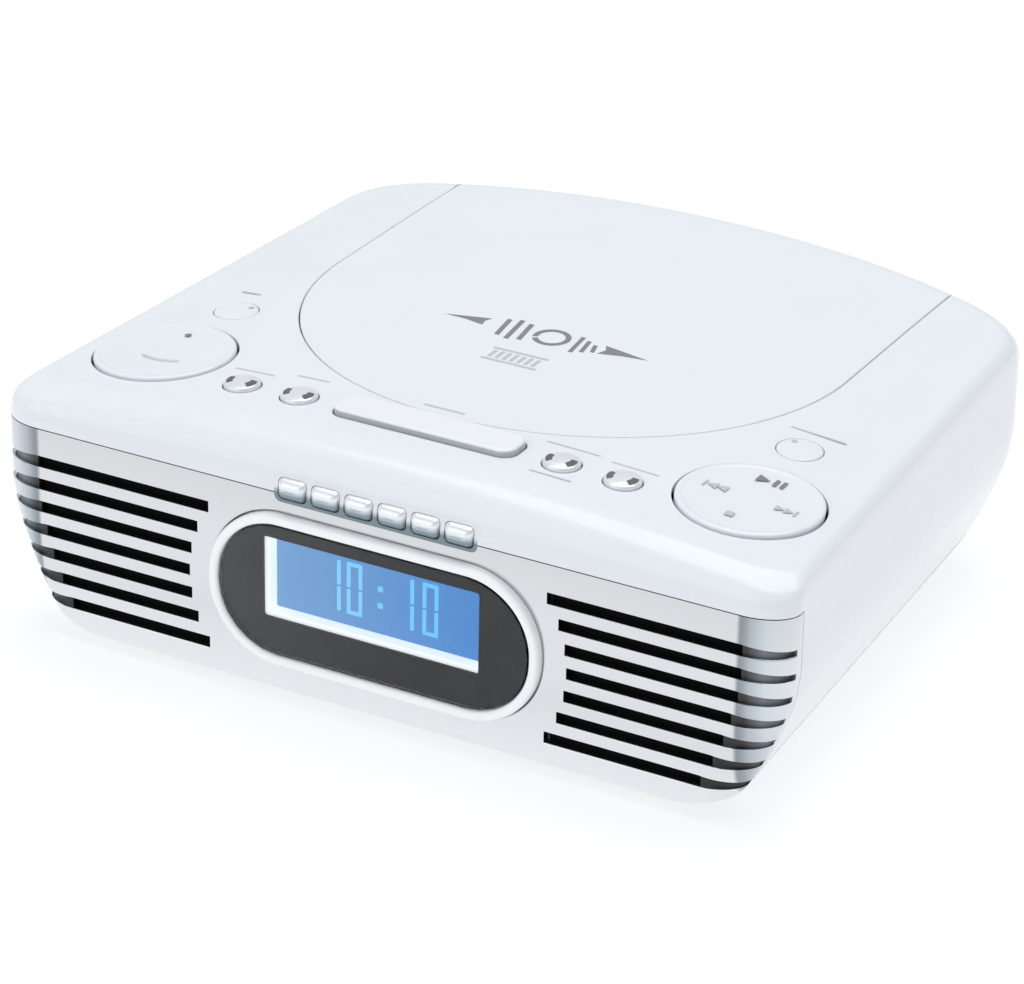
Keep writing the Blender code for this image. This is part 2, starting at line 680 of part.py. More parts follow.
def make_deck():
    """Disc well, chassis, spindle and the laser sled with its drive."""
    cy = LID_CENTRE_Y
    well = slab("disc_well", well_outline(), LEDGE_TOP - 2.0, LEDGE_TOP)
    radius = WELL_RADIUS + WELL_WALL
    rim_low = WELL_FLOOR + SEAT
    rim_high = LEDGE_TOP - 1.0
    centre = (0, cy, (rim_low + rim_high) / 2)
    join(well, cylinder("well_rim", centre, radius, rim_high - rim_low, segments=36))
    cut(well, cylinder("well_hollow", (0, cy, 80), WELL_RADIUS, 40.0, segments=36))
    keep(well, "white_satin")
    floor = cylinder("well_floor", (0, cy, WELL_FLOOR - 0.8), radius, 1.6, segments=36)
    cut(
        floor,
        cylinder("spindle_hole", (0, cy, 60), 16.0, 20, segments=24),
        box(
            "sled_slot", (SLED_SLOT_X[0], cy - SLED_SLOT_HALF, 50),
            (SLED_SLOT_X[1], cy + SLED_SLOT_HALF, 70),
        ),
    )
    keep(floor, "white_satin")
    chassis = box("deck_chassis", (-38, cy - 30, 50), (76, cy + 27, 52))
    for side in (-1, 1):
        y = cy + side * ROD_OFFSET
        for x in (14.5, 72.5):
            join(chassis, box("rod_block", (x - 2.2, y - 2.2, 51), (x + 2.2, y + 2.2, 60.4)))
    join(chassis, cylinder("gear_post", (GEAR_X, GEAR_Y, 54), 1.3, 6.4, segments=12))
    for side in (-1, 1):
        y = cy + side * ROD_OFFSET
        cut(chassis, cylinder("rod_bore", (43.5, y, ROD_Z), 1.8, 66, "X", 16))
    keep(chassis, "black_plastic")
    for side, word in ((-1, "front"), (1, "rear")):
        y = cy + side * ROD_OFFSET
        rod = cylinder("guide_rod_" + word, (43.5, y, ROD_Z), 1.5, 62, "X", 16)
        keep(rod, "steel")
    keep(cylinder("spindle_motor", (0, cy, 56.2), 10.5, 7.8, segments=32), "steel")
    table = [
        (0, 69.0), (3.0, 69.0), (6.8, 67.2), (7.2, 66.2), (14.6, 66.2), (14.6, 64.8), (6.0, 64.8),
        (6.0, 60.5), (0, 60.5),
    ]
    keep(turned("turntable", table, (0, cy, 0), segments=24), "black_plastic", (0, cy, 64.8))
    make_sled()


def tooth_corners(module):
    """The four corners of a tooth, (across, along) from its middle on the pitch line."""
    root, tip = ((module * across, module * along) for across, along in (TOOTH_ROOT, TOOTH_TIP))
    return (-root[0], root[1]), (-tip[0], tip[1]), tip, root


def gear_outline(teeth, module, centre, tooth_at):
    """Toothed outline with one tooth centred on the given angle."""
    radius = module * teeth / 2
    points = []
    for i in range(teeth):
        middle = tooth_at + 2 * math.pi * i / teeth
        for across, along in tooth_corners(module):
            angle = middle + across / (radius + along)
            points.append((
                centre[0] + (radius + along) * math.cos(angle),
                centre[1] + (radius + along) * math.sin(angle),
            ))
    return points


def rack_outline(module, first_x, teeth, pitch_y, back_y):
    """Rack whose teeth point towards -Y, with a gap centred on the gear at rest."""
    pitch = math.pi * module
    end = 0.3 * pitch
    points = [(first_x - end, back_y)]
    for i in range(teeth):
        middle = first_x + pitch * i
        points += [(middle + across, pitch_y - along) for across, along in tooth_corners(module)]
    points.append((first_x + pitch * (teeth - 1) + end, back_y))
    return points


def make_sled():
    """Laser sled with its rack, lens, compound gear, motor and pinion."""
    cy = LID_CENTRE_Y
    x = SLED_REST_X
    sled = box("laser_sled", (x - 8, cy - 10.5, 55.0), (x + 8, cy + 10.5, 62.0))
    for side in (-1, 1):
        y = cy + side * ROD_OFFSET
        ends = sorted((cy + side * 9.0, y + side * 3.2))
        join(sled, box("shoe", (x - 7, ends[0], 55.3), (x + 7, ends[1], 60.2)))
    pitch = math.pi * RACK_MODULE
    rack_teeth = 22
    first = GEAR_X + pitch / 2 - pitch * 20
    rack = rack_outline(RACK_MODULE, first, rack_teeth, RACK_PITCH_Y, cy - ROD_OFFSET - 2.5)
    combine(sled, slab("rack", rack, *RACK_LEVEL), "UNION", "MANIFOLD")
    for side in (-1, 1):
        y = cy + side * ROD_OFFSET
        cut(sled, cylinder("shoe_bore", (x, y, ROD_Z), 1.8, 90, "X", 16))
    cut(sled, cylinder("lens_well", (x, cy, 62.4), 4.6, 4.0, segments=20))
    keep(sled, "black_plastic", (x, cy, ROD_Z))
    lens = [(0, 63.2), (2.0, 62.9), (3.2, 62.3), (4.0, 62.2), (4.0, 61.2), (0, 61.2)]
    keep(turned("laser_lens", lens, (x, cy, 0), segments=20), "clear", (x, cy, 62))
    gear = slab(
        "sled_gear",
        gear_outline(RACK_GEAR_TEETH, RACK_MODULE, (GEAR_X, GEAR_Y), math.pi / 2),
        54.2, RACK_LEVEL[1] + 0.2,
    )
    motor_way = math.radians(-20)
    big = gear_outline(BIG_GEAR_TEETH, MOTOR_MODULE, (GEAR_X, GEAR_Y), motor_way)
    join(gear, slab("big_gear", big, *BIG_LEVEL))
    cut(gear, cylinder("gear_bore", (GEAR_X, GEAR_Y, 55), 1.6, 20, segments=16))
    keep(gear, "grey_plastic", (GEAR_X, GEAR_Y, 55))
    spacing = BIG_RADIUS + PINION_RADIUS
    px = GEAR_X + spacing * math.cos(motor_way)
    py = GEAR_Y + spacing * math.sin(motor_way)
    facing = motor_way + math.pi + math.pi / PINION_TEETH
    pinion = slab("motor_pinion", gear_outline(PINION_TEETH, MOTOR_MODULE, (px, py), facing), 52.6, 55.0)
    keep(pinion, "grey_plastic", (px, py, 54))
    keep(cylinder("sled_motor", (px, py, 43.6), 7.5, 12.0, segments=24), "steel")


# ---------------------------------------------------------------- keys
def press_key(name, x, y, radius, proud, dome, slot):
    """Round button with a dome, a flange under the top and a stem down to its switch."""
    surface = top_height(x)
    under = surface - WALL - 0.9
    profile = [
        (0, surface + proud), (radius * 0.5, surface + proud - dome * 0.2),
        (radius * 0.82, surface + proud - dome * 0.55), (radius, surface + proud - dome),
        (radius, under), (radius + 1.2, under), (radius + 1.2, under - 1.2),
        (STEM_RADIUS, under - 1.2), (STEM_RADIUS, BOARD_Z + 3.4), (0, BOARD_Z + 3.4),
    ]
    keep(turned(name, profile, (x, y, 0), segments=16), slot, (x, y, surface))


def make_pads():
    """Two round pads set into the slope of the top; the right one tilts on a gimbal."""
    for side, word in ((-1, "left"), (1, "right")):
        surface = top_height(PAD_X)
        pivot = surface - 3.4
        profile = [
            (0, 0.3), (17.4, 0.8), (18.6, 0.9), (PAD_RADIUS, 0.3), (PAD_RADIUS, -3.0),
            (17.2, -3.0), (17.2, -1.6), (6.0, -1.6), (6.0, -4.6), (0, -4.6),
        ]
        pad = turned("pad_" + word, profile, segments=32)
        tilt = Matrix.Rotation(side * PAD_TILT, 4, "Y")
        pad.data.transform(Matrix.Translation(Vector((side * PAD_X, PAD_Y, surface)) * MM) @ tilt)
        keep(pad, "white_gloss", (side * PAD_X, PAD_Y, pivot))
    gimbal = [(3.5, 67.2), (12.0, 67.2), (12.0, 65.4), (3.5, 65.4), (3.5, 67.2)]
    keep(turned("pad_gimbal", gimbal, (PAD_X, PAD_Y, 0)), "black_plastic", (PAD_X, PAD_Y, 66.3))


def make_keys():
    """Small chromed buttons, corner buttons, snooze bar, front keys and the board under them."""
    for i, x in enumerate(BUTTON_XS, 1):
        press_key(f"function_button_{i}", x, BUTTON_Y, BUTTON_RADIUS, 1.6, 1.3, "chrome")
    for side, word in ((-1, "left"), (1, "right")):
        x = side * CORNER_BUTTON[0]
        y = CORNER_BUTTON[1]
        press_key("corner_button_" + word, x, y, CORNER_BUTTON_RADIUS, 0.3, 0.5, "white_gloss")
    middle_y = (SNOOZE_Y[0] + SNOOZE_Y[1]) / 2
    half_y = (SNOOZE_Y[1] - SNOOZE_Y[0]) / 2
    outline = rounded_rect(SNOOZE_HALF, half_y, 4.0, (0, middle_y), 4)
    bar = slab("snooze_bar", outline, TOP - 4.0, TOP + SNOOZE_PROUD)
    soften(bar, 0.7, 2)
    stem_low = BOARD_Z + 3.6
    stem_high = TOP - 3.0
    for x in (-16, 16):
        centre = (x, middle_y, (stem_low + stem_high) / 2)
        join(bar, cylinder("snooze_stem", centre, STEM_RADIUS, stem_high - stem_low, segments=12))
    keep(bar, "white_gloss", (0, middle_y, TOP))
    for i in range(KEY_COUNT):
        x = KEY_PITCH * (i - (KEY_COUNT - 1) / 2)
        low = (x - 4.3, FRONT - 1.5, KEY_Z - 3.0)
        high = (x + 4.3, FRONT + 4.6, KEY_Z + 3.0)
        key = box(f"front_key_{i + 1}", low, high)
        soften(key, 1.2, 3)
        keep(key, "chrome", (x, FRONT, KEY_Z))
    wing = [(104, 12), (104, 78), (76, 78), (66, 60), (50, 44), (28, 33.5)]
    outline = [(x, FRONT + y) for x, y in wing] + [(-x, FRONT + y) for x, y in reversed(wing)]
    keep(slab("key_board", outline, BOARD_Z, BOARD_Z + 1.6), "board_green")


# ---------------------------------------------------------------- boards and sockets
def socket(name, x, outer, bore, pin, slot):
    """Round socket in the back wall; its mouth faces +Y."""
    mouth = back_wall(x) + 0.8
    centre = [(0, -2.5), (pin, -2.5), (pin, -10.0)] if pin else [(0, -10.0)]
    profile = centre + [(bore, -10.0), (bore, 0.0), (outer, 0.0), (outer, -14.0), (0, -14.0)]
    piece = turned(name, profile, (x, mouth, JACK_Z), "Y", 24)
    keep(piece, slot)


def back_wall(x):
    """Depth of the back wall's outside at the height of the sockets."""
    return BACK - 2.4 - BACK_BOW * (abs(x) / BACK_CORNER_X) ** BOW_POWER


def make_electronics():
    """Main board and the two sockets on the back."""
    keep(box("main_board", (-66, -58, 28.0), (66, 62, 29.6)), "board_green")
    socket("dc_inlet", INLET_X, INLET_RADIUS, 2.9, 1.0, "black_plastic")
    socket("line_jack", LINE_X, LINE_RADIUS, 1.8, 0, "black_plastic")


make_top_housing()
make_bottom_housing()
make_front_grille()
make_base_pieces()
make_display()
make_speakers()
make_lid()
make_deck()
make_pads()
make_keys()
make_electronics()
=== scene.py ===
"""Looks of the clock radio with a top-loading disc player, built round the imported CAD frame.

Sizes are in millimetres until a mesh is made; x is to the right, y to the back, z up.
"""
import math

import bmesh
import bpy
import numpy as np
from mathutils import Matrix, Vector
from mathutils.bvhtree import BVHTree


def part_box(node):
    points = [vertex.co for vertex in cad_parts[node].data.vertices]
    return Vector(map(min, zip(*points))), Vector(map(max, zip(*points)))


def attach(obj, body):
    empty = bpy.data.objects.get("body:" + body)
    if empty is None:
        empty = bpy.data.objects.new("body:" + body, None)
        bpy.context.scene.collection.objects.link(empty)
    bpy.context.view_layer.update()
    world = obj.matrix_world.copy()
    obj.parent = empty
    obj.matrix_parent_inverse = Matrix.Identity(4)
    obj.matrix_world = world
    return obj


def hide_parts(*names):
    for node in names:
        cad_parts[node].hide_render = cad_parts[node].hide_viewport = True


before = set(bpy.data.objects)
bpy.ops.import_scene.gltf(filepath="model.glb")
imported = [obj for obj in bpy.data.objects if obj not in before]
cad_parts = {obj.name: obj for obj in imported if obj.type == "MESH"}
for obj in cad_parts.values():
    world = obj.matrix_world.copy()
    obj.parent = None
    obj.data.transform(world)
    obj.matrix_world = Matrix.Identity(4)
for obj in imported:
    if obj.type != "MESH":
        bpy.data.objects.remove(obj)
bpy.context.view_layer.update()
MM = 0.001
POINT = 0.02              # radius that stands for a point on the axis of a turned piece
FAR = 150                 # further out than any face of the object
UNDER = -5                # below the object
SIDES = ((-1, "left"), (1, "right"))
CUT, JOIN, KEEP = "DIFFERENCE", "UNION", "INTERSECT"


def cad_mm(node):
    """Lowest and highest corner of a CAD node in millimetres."""
    return [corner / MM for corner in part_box(node)]


# ---- sizes shared with the CAD
HALF_WIDTH = 117.0
FRONT = cad_mm("front_grille")[0].y
BACK = cad_mm("top_housing")[1].y
BODY_DEPTH = 199.0
BASE = 2.5
CREASE = 61.4
TOP = 75.8
CROWN = 4.0               # drop of the crowned top at CROWN_REACH off the middle
CROWN_REACH = 100
SEAM = 14.0
WALL = 2.2
GRILLE_BACK = FRONT + 10.0
SEAT = 0.3
GAP = 0.4

FLAT_HALF = 104.5
CORNER_DEPTH = 8.5
CORNER_SPAN = (0.100, 0.117)    # metres off the middle over which the painted shade on the plating and in the grooves changes
SIDE_END = 164.0
SIDE_TAPER = 0.064
BACK_CORNER_X = 86.0
BACK_BOW = 12.3
BOW_POWER = 2.3

# height, inset of the sides, inset of the front, inset of the back, share of the crown
LEVELS = np.array((
    (2.5, 26.0, 2.5, 16.0, 0.0),
    (3.4, 20.5, 0.8, 12.5, 0.0),
    (6.0, 15.0, 0.0, 9.0, 0.0),
    (14.0, 9.6, 0.0, 5.6, 0.0),
    (25.0, 4.7, 0.0, 2.6, 0.0),
    (37.0, 0.9, 0.0, 0.6, 0.0),
    (46.0, 0.0, 0.0, 0.0, 0.0),
    (61.4, 0.0, 0.0, 0.0, 0.0),
    (66.0, 0.0, 0.7, 0.3, 0.2),
    (70.0, 0.5, 2.3, 1.0, 0.5),
    (73.0, 1.8, 5.2, 2.6, 0.75),
    (75.0, 3.9, 9.2, 4.8, 0.9),
    (75.8, 7.5, 14.0, 8.0, 1.0),
))

LID_RADIUS = 78.6
LID_CENTRE_Y = FRONT + 114.6
LID_WALL = 2.4
HINGE_Y = BACK - 8.4
HINGE_Z = 67.0
LIP_RADIUS = 11.5
TROUGH = (13.6, 80.9)     # radius and half length of the trough that the lid's lip turns in
HOLLOW = (12.0, 79.1)     # and of the space inside it
LEDGE_TOP = 70.0
KNUCKLES = (-26.0, 26.0)
EAR_OFFSET = 4.0          # ears of the housing on both sides of a knuckle
ARM_HALF = 2.5            # half width of the lid's arm at a knuckle
PEG_RADIUS = 3.1

DISPLAY_Z = 33.5
WINDOW_HALF = (46.5, 19.1)
WINDOW_CORNER = 18.5
BEZEL_WIDTH = 2.9
BEZEL_PROUD = 2.5
LCD_Z = 37.25
LCD_HALF = (31.4, 10.95)

SLOT_COUNT = 7
SLOT_PITCH = 6.67
SLOT_TOP = 51.6
SLOT_HEIGHT = 3.1
SLOT_INNER = 56.4
SLOT_FIELD = 36.3
GROOVE_DEPTH = 1.2        # the slots go on round the corners as shallow grooves
GROOVE_END_HEIGHT = 1.5   # and narrow to this height at their far ends

PAD_X = 87.9
PAD_Y = FRONT + 37.9
PAD_RADIUS = 19.4
PAD_GAP = 0.7
PAD_PROUD = 0.62
BUTTON_Y = FRONT + 27.5
BUTTON_XS = (-56.9, -39.25, 39.25, 56.9)
BUTTON_RADIUS = 5.0
BUTTON_DOME = ((0.0, 1.3, 2.6, 3.5, 4.3, 4.6, 5.0), (1.6, 1.56, 1.46, 1.33, 1.12, 1.02, 0.3))
CORNER_BUTTON = (86.0, FRONT + 71.0)
CORNER_BUTTON_RADIUS = 6.2
SNOOZE_Y = (FRONT + 22.0, FRONT + 33.6)
SNOOZE_HALF = 27.0
SNOOZE_CORNER = 4.0
SNOOZE_PROUD = cad_mm("snooze_bar")[1].z - TOP
KEY_COUNT = 6
KEY_PITCH = 9.9
KEY_XS = [KEY_PITCH * (i - (KEY_COUNT - 1) / 2) for i in range(KEY_COUNT)]
KEY_Z = 62.8
KEY_HALF = (4.3, 3.0)
KEY_CORNER = 1.6
KEY_FRONT = FRONT - 1.5
KEY_BACK = FRONT + 4.6
KEY_SLOT_HALF = KEY_PITCH * KEY_COUNT / 2 + 0.4

EDGE = 0.35               # rounding of the moulded edges


# ---- materials
DRIFT_SCALE, POLISH_SCALE, GRAIN_SCALE = 28.0, 240.0, 5200.0


def principled(made):
    return made.node_tree.nodes["Principled BSDF"]


def new_material(name):
    made = bpy.data.materials.new(name)
    made.use_nodes = True
    return made, made.node_tree.nodes, principled(made)


def feed(node, values):
    """Set inputs of a node: each to a constant, or linked to another node's output."""
    for socket, value in values.items():
        if isinstance(value, bpy.types.NodeSocket):
            node.id_data.links.new(value, node.inputs[socket])
        else:
            node.inputs[socket].default_value = value


def coordinates(nodes, kind="Object"):
    return nodes.new("ShaderNodeTexCoord").outputs[kind]


def one_axis(nodes, axis, kind="Object"):
    split = nodes.new("ShaderNodeSeparateXYZ")
    feed(split, {"Vector": coordinates(nodes, kind)})
    return split.outputs[axis]


def calculated(nodes, operation, *values):
    sum_node = nodes.new("ShaderNodeMath")
    sum_node.operation = operation
    feed(sum_node, dict(enumerate(values)))
    return sum_node.outputs["Value"]


def noise(nodes, place, scale, detail=3.0):
    texture = nodes.new("ShaderNodeTexNoise")
    feed(texture, {"Scale": scale, "Detail": detail, "Vector": place})
    return texture.outputs["Fac"]


def relief(shader, height, strength, distance=0.0001):
    """Fine surface relief from a height value."""
    bump = shader.id_data.nodes.new("ShaderNodeBump")
    feed(bump, {"Strength": strength, "Distance": distance, "Height": height})
    feed(shader, {"Normal": bump.outputs["Normal"]})


def spread(nodes, value, low, high, from_low=0.3, from_high=0.7):
    """Map a value onto a range of numbers; noise lies mostly between 0.3 and 0.7."""
    remap = nodes.new("ShaderNodeMapRange")
    feed(remap, {
        "From Min": from_low, "From Max": from_high, "To Min": low, "To Max": high, "Value": value,
    })
    return remap.outputs["Result"]


def blend_colours(nodes, factor, first, second, mode="MIX"):
    """Mix of two colours, each a constant or a node's output."""
    mix = nodes.new("ShaderNodeMix")
    mix.data_type = "RGBA"
    mix.blend_type = mode
    feed(mix, {"Factor": factor})
    for socket, colour in (("A", first), ("B", second)):
        feed(mix, {socket: (*colour, 1.0) if isinstance(colour, tuple) else colour})
    return mix.outputs["Result"]


def ramp_colours(nodes, value, stops):
    """Colour ramp through (place, colour) stops."""
    ramp = nodes.new("ShaderNodeValToRGB")
    first, *middle, last = stops
    for element, (at, colour) in zip(ramp.color_ramp.elements, (first, last)):
        element.position = at
        element.color = (*colour, 1.0)
    for at, colour in middle:
        ramp.color_ramp.elements.new(at).color = (*colour, 1.0)
    feed(ramp, {"Fac": value})
    return ramp.outputs["Color"]


def across(nodes, axis, low, high):
    """0 to 1 along an axis between two places in metres."""
    return spread(nodes, one_axis(nodes, axis), 0.0, 1.0, low, high)


def round_corner(nodes):
    """0 to 1 with the distance from the middle plane, over the front corners."""
    away = calculated(nodes, "ABSOLUTE", one_axis(nodes, "X"))
    return spread(nodes, away, 0.0, 1.0, *CORNER_SPAN)


def moulded(name, colour, roughness, metallic=0.0, tint=0.02, grain=GRAIN_SCALE, bump=0.03,
            coat=0.0, specular=0.5):
    """Moulded or plated part: slight tone drift, uneven polish and a fine surface grain."""
    made, nodes, shader = new_material(name)
    place = coordinates(nodes)
    darker = tuple(c * (1 - tint) for c in colour)
    lighter = tuple(min(1.0, c * (1 + tint)) for c in colour)
    drift = spread(nodes, noise(nodes, place, DRIFT_SCALE), 0.0, 1.0)
    polish = noise(nodes, place, POLISH_SCALE, 5.0)
    feed(shader, {
        "Base Color": blend_colours(nodes, drift, darker, lighter),
        "Roughness": spread(nodes, polish, roughness * 0.85, roughness * 1.2),
        "Metallic": metallic,
        "Coat Weight": coat,
        "Coat Roughness": 0.06,
        "Specular IOR Level": specular,
    })
    relief(shader, noise(nodes, place, grain, 2.0), bump)
    return made


def woven(name, dark, light, pitch):
    """Speaker cloth: crossed threads from two wave textures."""
    made, nodes, shader = new_material(name)
    place = coordinates(nodes)
    threads = []
    for direction in ("X", "Z"):
        wave = nodes.new("ShaderNodeTexWave")
        wave.bands_direction = direction
        feed(wave, {"Scale": math.pi / (10 * pitch), "Vector": place})
        threads.append(wave.outputs["Fac"])
    tone = calculated(nodes, "MULTIPLY", *threads)
    relief(shader, tone, 0.5, 0.0002)
    colour = blend_colours(nodes, tone, dark, light)
    feed(shader, {"Base Color": colour, "Roughness": 0.95, "Specular IOR Level": 0.1})
    return made


def glowing_panel(name, left, right, strength):
    """Backlit LCD whose light evens out towards the right."""
    made, nodes, shader = new_material(name)
    run = across(nodes, "X", -LCD_HALF[0] * MM, LCD_HALF[0] * MM)
    feed(shader, {
        "Emission Color": blend_colours(nodes, run, left, right),
        "Emission Strength": strength,
        "Base Color": blend_colours(nodes, run, (0.02, 0.05, 0.12), (0.01, 0.03, 0.10)),
        "Roughness": 0.4,
    })
    relief(shader, noise(nodes, coordinates(nodes), 4000.0), 0.05)
    return made


def smoked_with_painted_reflection(name, left, right):
    """Printed mask behind the window, with a painted reflection that makes it paler at the left end.
    """
    made, nodes, shader = new_material(name)
    run = across(nodes, "X", -WINDOW_HALF[0] * MM, 0.2 * WINDOW_HALF[0] * MM)
    polish = noise(nodes, coordinates(nodes), 40.0)
    feed(shader, {
        "Base Color": blend_colours(nodes, run, left, right),
        "Roughness": spread(nodes, polish, 0.30, 0.36),
        "Specular IOR Level": 0.2,
    })
    return made


def clear(name, tint, roughness, bend):
    """Clear plastic or glass."""
    made, nodes, shader = new_material(name)
    shade = noise(nodes, coordinates(nodes), 60.0)
    feed(shader, {
        "Base Color": blend_colours(nodes, shade, tuple(c * 0.97 for c in tint), tint),
        "Roughness": spread(nodes, shade, roughness * 0.8, roughness),
        "Transmission Weight": 1.0,
        "IOR": bend,
    })
    return made


def plated(name, low, middle, high):
    """Bright plating with a painted reflection that darkens its tone up the face, and painted shade
    round the front corners: a dark streak where each corner begins that fades out round it.
    """
    made = moulded(name, middle, 0.11, metallic=1.0, tint=0.012, bump=0.015)
    nodes = made.node_tree.nodes
    # painted reflection: the plating lighter low on the face and darker up it
    rise = across(nodes, "Z", 0.004, 0.062)
    face = ramp_colours(nodes, rise, [(0.0, low), (0.3, middle), (0.7, middle), (1.0, high)])
    # painted shade round the front corners, darkest where each corner begins
    corner_shade = ramp_colours(nodes, round_corner(nodes), [
        (0.0, NO_PAINTED_SHADE), (0.20, NO_PAINTED_SHADE), (0.26, (0.40, 0.43, 0.46)), (0.32, (0.44, 0.47, 0.50)),
        (0.43, (0.64, 0.68, 0.72)), (0.66, (0.88, 0.93, 0.97)), (1.0, NO_PAINTED_SHADE),
    ])
    feed(principled(made), {"Base Color": blend_colours(nodes, 1.0, face, corner_shade, "MULTIPLY")})
    return made


def painted_groove_shade(name):
    """Painted shade in the corner grooves: black where they leave the slots, thinner half way round.
    """
    made = moulded(name, (0.02, 0.02, 0.02), 0.3)
    nodes = made.node_tree.nodes
    tone = ramp_colours(nodes, round_corner(nodes), [
        (0.0, (0.006, 0.006, 0.007)), (0.35, (0.02, 0.022, 0.025)), (0.60, (0.19, 0.21, 0.225)),
        (0.80, (0.12, 0.135, 0.15)), (0.92, (0.02, 0.023, 0.026)),
    ])
    feed(principled(made), {"Base Color": tone})
    return made


def painted_shade_below(made, low_z, high_z, lower, upper):
    """A material's colour goes from a lower colour, used as painted shade, to an upper one between
    two heights in millimetres.
    """
    nodes = made.node_tree.nodes
    rise = across(nodes, "Z", low_z * MM, high_z * MM)
    feed(principled(made), {"Base Color": blend_colours(nodes, rise, lower, upper)})
    return made


NO_PAINTED_SHADE = (1.0, 1.0, 1.0)
WHITE = (0.82, 0.85, 0.885)
KEY_BRIGHT = (0.88, 0.905, 0.93)

WHITE_GLOSS = moulded("white_gloss", WHITE, 0.20, tint=0.008, bump=0.02, coat=0.2)
WHITE_KEY = moulded("white_key", (0.86, 0.885, 0.91), 0.14, tint=0.008, bump=0.02, coat=0.3)
KEY_TRAY = painted_shade_below(    # white above the front keys, a painted shade of dull blue-grey below them
    moulded("key_surround", WHITE, 0.25, tint=0.01),
    KEY_Z - 1.4, KEY_Z + 0.2, (0.20, 0.26, 0.29), WHITE,
)
# painted shade for the snooze bar's sides
SNOOZE_SIDE_SHADE = moulded("snooze_side_painted_shade", (0.50, 0.53, 0.55), 0.35, tint=0.03)
# white frame round the LCD; its painted glow is set below
FRAME_PAINTED_GLOW = moulded("frame_painted_glow", (0.88, 0.89, 0.90), 0.4, tint=0.01)
WHITE_SATIN = moulded("white_satin", (0.80, 0.83, 0.86), 0.42, tint=0.012, bump=0.12)
# plating with painted reflection up the face and painted shade round the front corners
PLATED_PAINTED_REFLECTION = plated("plated_fascia_painted_reflection", (0.85, 0.87, 0.89), (0.69, 0.705, 0.725), (0.63, 0.64, 0.655))
# painted shade for the corner grooves
GROOVE_PAINTED_SHADE = painted_groove_shade("groove_painted_shade")
BUTTON_SILVER = moulded(
    "button_silver", (0.86, 0.885, 0.91), 0.24, metallic=0.45, tint=0.01, bump=0.015
)
KEY_SILVER = painted_shade_below(    # bright above, a painted shade of duller blue-grey along the bottom
    moulded("key_silver", KEY_BRIGHT, 0.30, metallic=0.6, tint=0.01, bump=0.015),
    KEY_Z - 1.0, KEY_Z + 0.9, (0.24, 0.31, 0.345), KEY_BRIGHT,
)
# painted light: whiter than the body's white gloss, so the ring's shaded sides come out bright
BEZEL_WHITE = moulded("bezel_white", (0.955, 0.965, 0.98), 0.14, tint=0.006, bump=0.02, coat=0.3)
STEEL = moulded("steel", (0.60, 0.61, 0.63), 0.28, metallic=1.0, tint=0.04, bump=0.05)
BLACK_PLASTIC = moulded("black_plastic", (0.022, 0.022, 0.025), 0.42, tint=0.08, bump=0.15)
GREY_PLASTIC = moulded("grey_plastic", (0.50, 0.52, 0.55), 0.45, tint=0.03, bump=0.1)
RUBBER = moulded(
    "foot_rubber", (0.03, 0.03, 0.032), 0.85, tint=0.15, bump=0.4, grain=2600.0, specular=0.2
)
PAPER = moulded(
    "cone_paper", (0.05, 0.05, 0.055), 0.85, tint=0.2, bump=0.5, grain=1800.0, specular=0.2
)
BOARD = moulded("board_green", (0.03, 0.14, 0.06), 0.38, tint=0.15, bump=0.2, grain=900.0)
# painted dark reflections for the silver buttons
DARK_PAINTED_REFLECTION = moulded("painted_dark_reflection", (0.10, 0.105, 0.115), 0.4, tint=0.1)
INK = moulded("grey_ink", (0.21, 0.22, 0.24), 0.5, tint=0.08)
PALE_INK = moulded("pale_ink", (0.52, 0.55, 0.58), 0.5, tint=0.04)
CLOTH = woven("black_cloth", (0.002, 0.002, 0.002), (0.008, 0.008, 0.009), 0.0005)
LCD_BLUE = glowing_panel("lcd_blue", (0.17, 0.39, 0.70), (0.025, 0.25, 0.68), 0.80)
LCD_DIGIT = glowing_panel("lcd_digit", (0.24, 0.62, 0.98), (0.08, 0.50, 1.0), 1.05)
# painted reflection: the mask paler at its left end
MASK = smoked_with_painted_reflection("smoked_mask", (0.056, 0.056, 0.057), (0.006, 0.006, 0.008))
WINDOW_CLEAR = clear("window_clear", (0.95, 0.96, 0.97), 0.002, 1.30)
LENS_GLASS = clear("lens_glass", (0.70, 0.75, 0.95), 0.02, 1.50)

# painted glow: the white frame round the LCD glows as if lit by the LCD's backlight
feed(principled(FRAME_PAINTED_GLOW), {
    "Emission Color": (0.92, 0.95, 1.0, 1.0),
    "Emission Strength": 0.62,
})


# ---- mesh building
def link(name, data):
    made = bpy.data.objects.new(name, data)
    bpy.context.scene.collection.objects.link(made)
    return made


def from_bmesh(name, bm):
    mesh = bpy.data.meshes.new(name)
    bm.to_mesh(mesh)
    bm.free()
    return link(name, mesh)


def band(near, far):
    """Faces between rings of point numbers."""
    corners = (near, np.roll(near, -1, 1), np.roll(far, -1, 1), far)
    return np.stack(corners, -1).reshape(-1, 4).tolist()


def closed_solid(name, rings, faces):
    """Object from rings of points and faces, with the faces turned outwards."""
    mesh = bpy.data.meshes.new(name)
    mesh.from_pydata((np.concatenate(rings) * MM).tolist(), [], faces)
    bm = bmesh.new()
    bm.from_mesh(mesh)
    if bm.calc_volume(signed=True) < 0:
        bmesh.ops.reverse_faces(bm, faces=bm.faces)
    bm.to_mesh(mesh)
    bm.free()
    return link(name, mesh)


def from_rings(name, rings):
    """Closed solid from a stack of rings that all have the same number of points."""
    rings = [np.asarray(ring, float) for ring in rings]
    index = np.arange(len(rings) * len(rings[0])).reshape(len(rings), -1)
    ends = [index[0][::-1].tolist(), index[-1].tolist()]
    return closed_solid(name, rings, band(index[:-1], index[1:]) + ends)


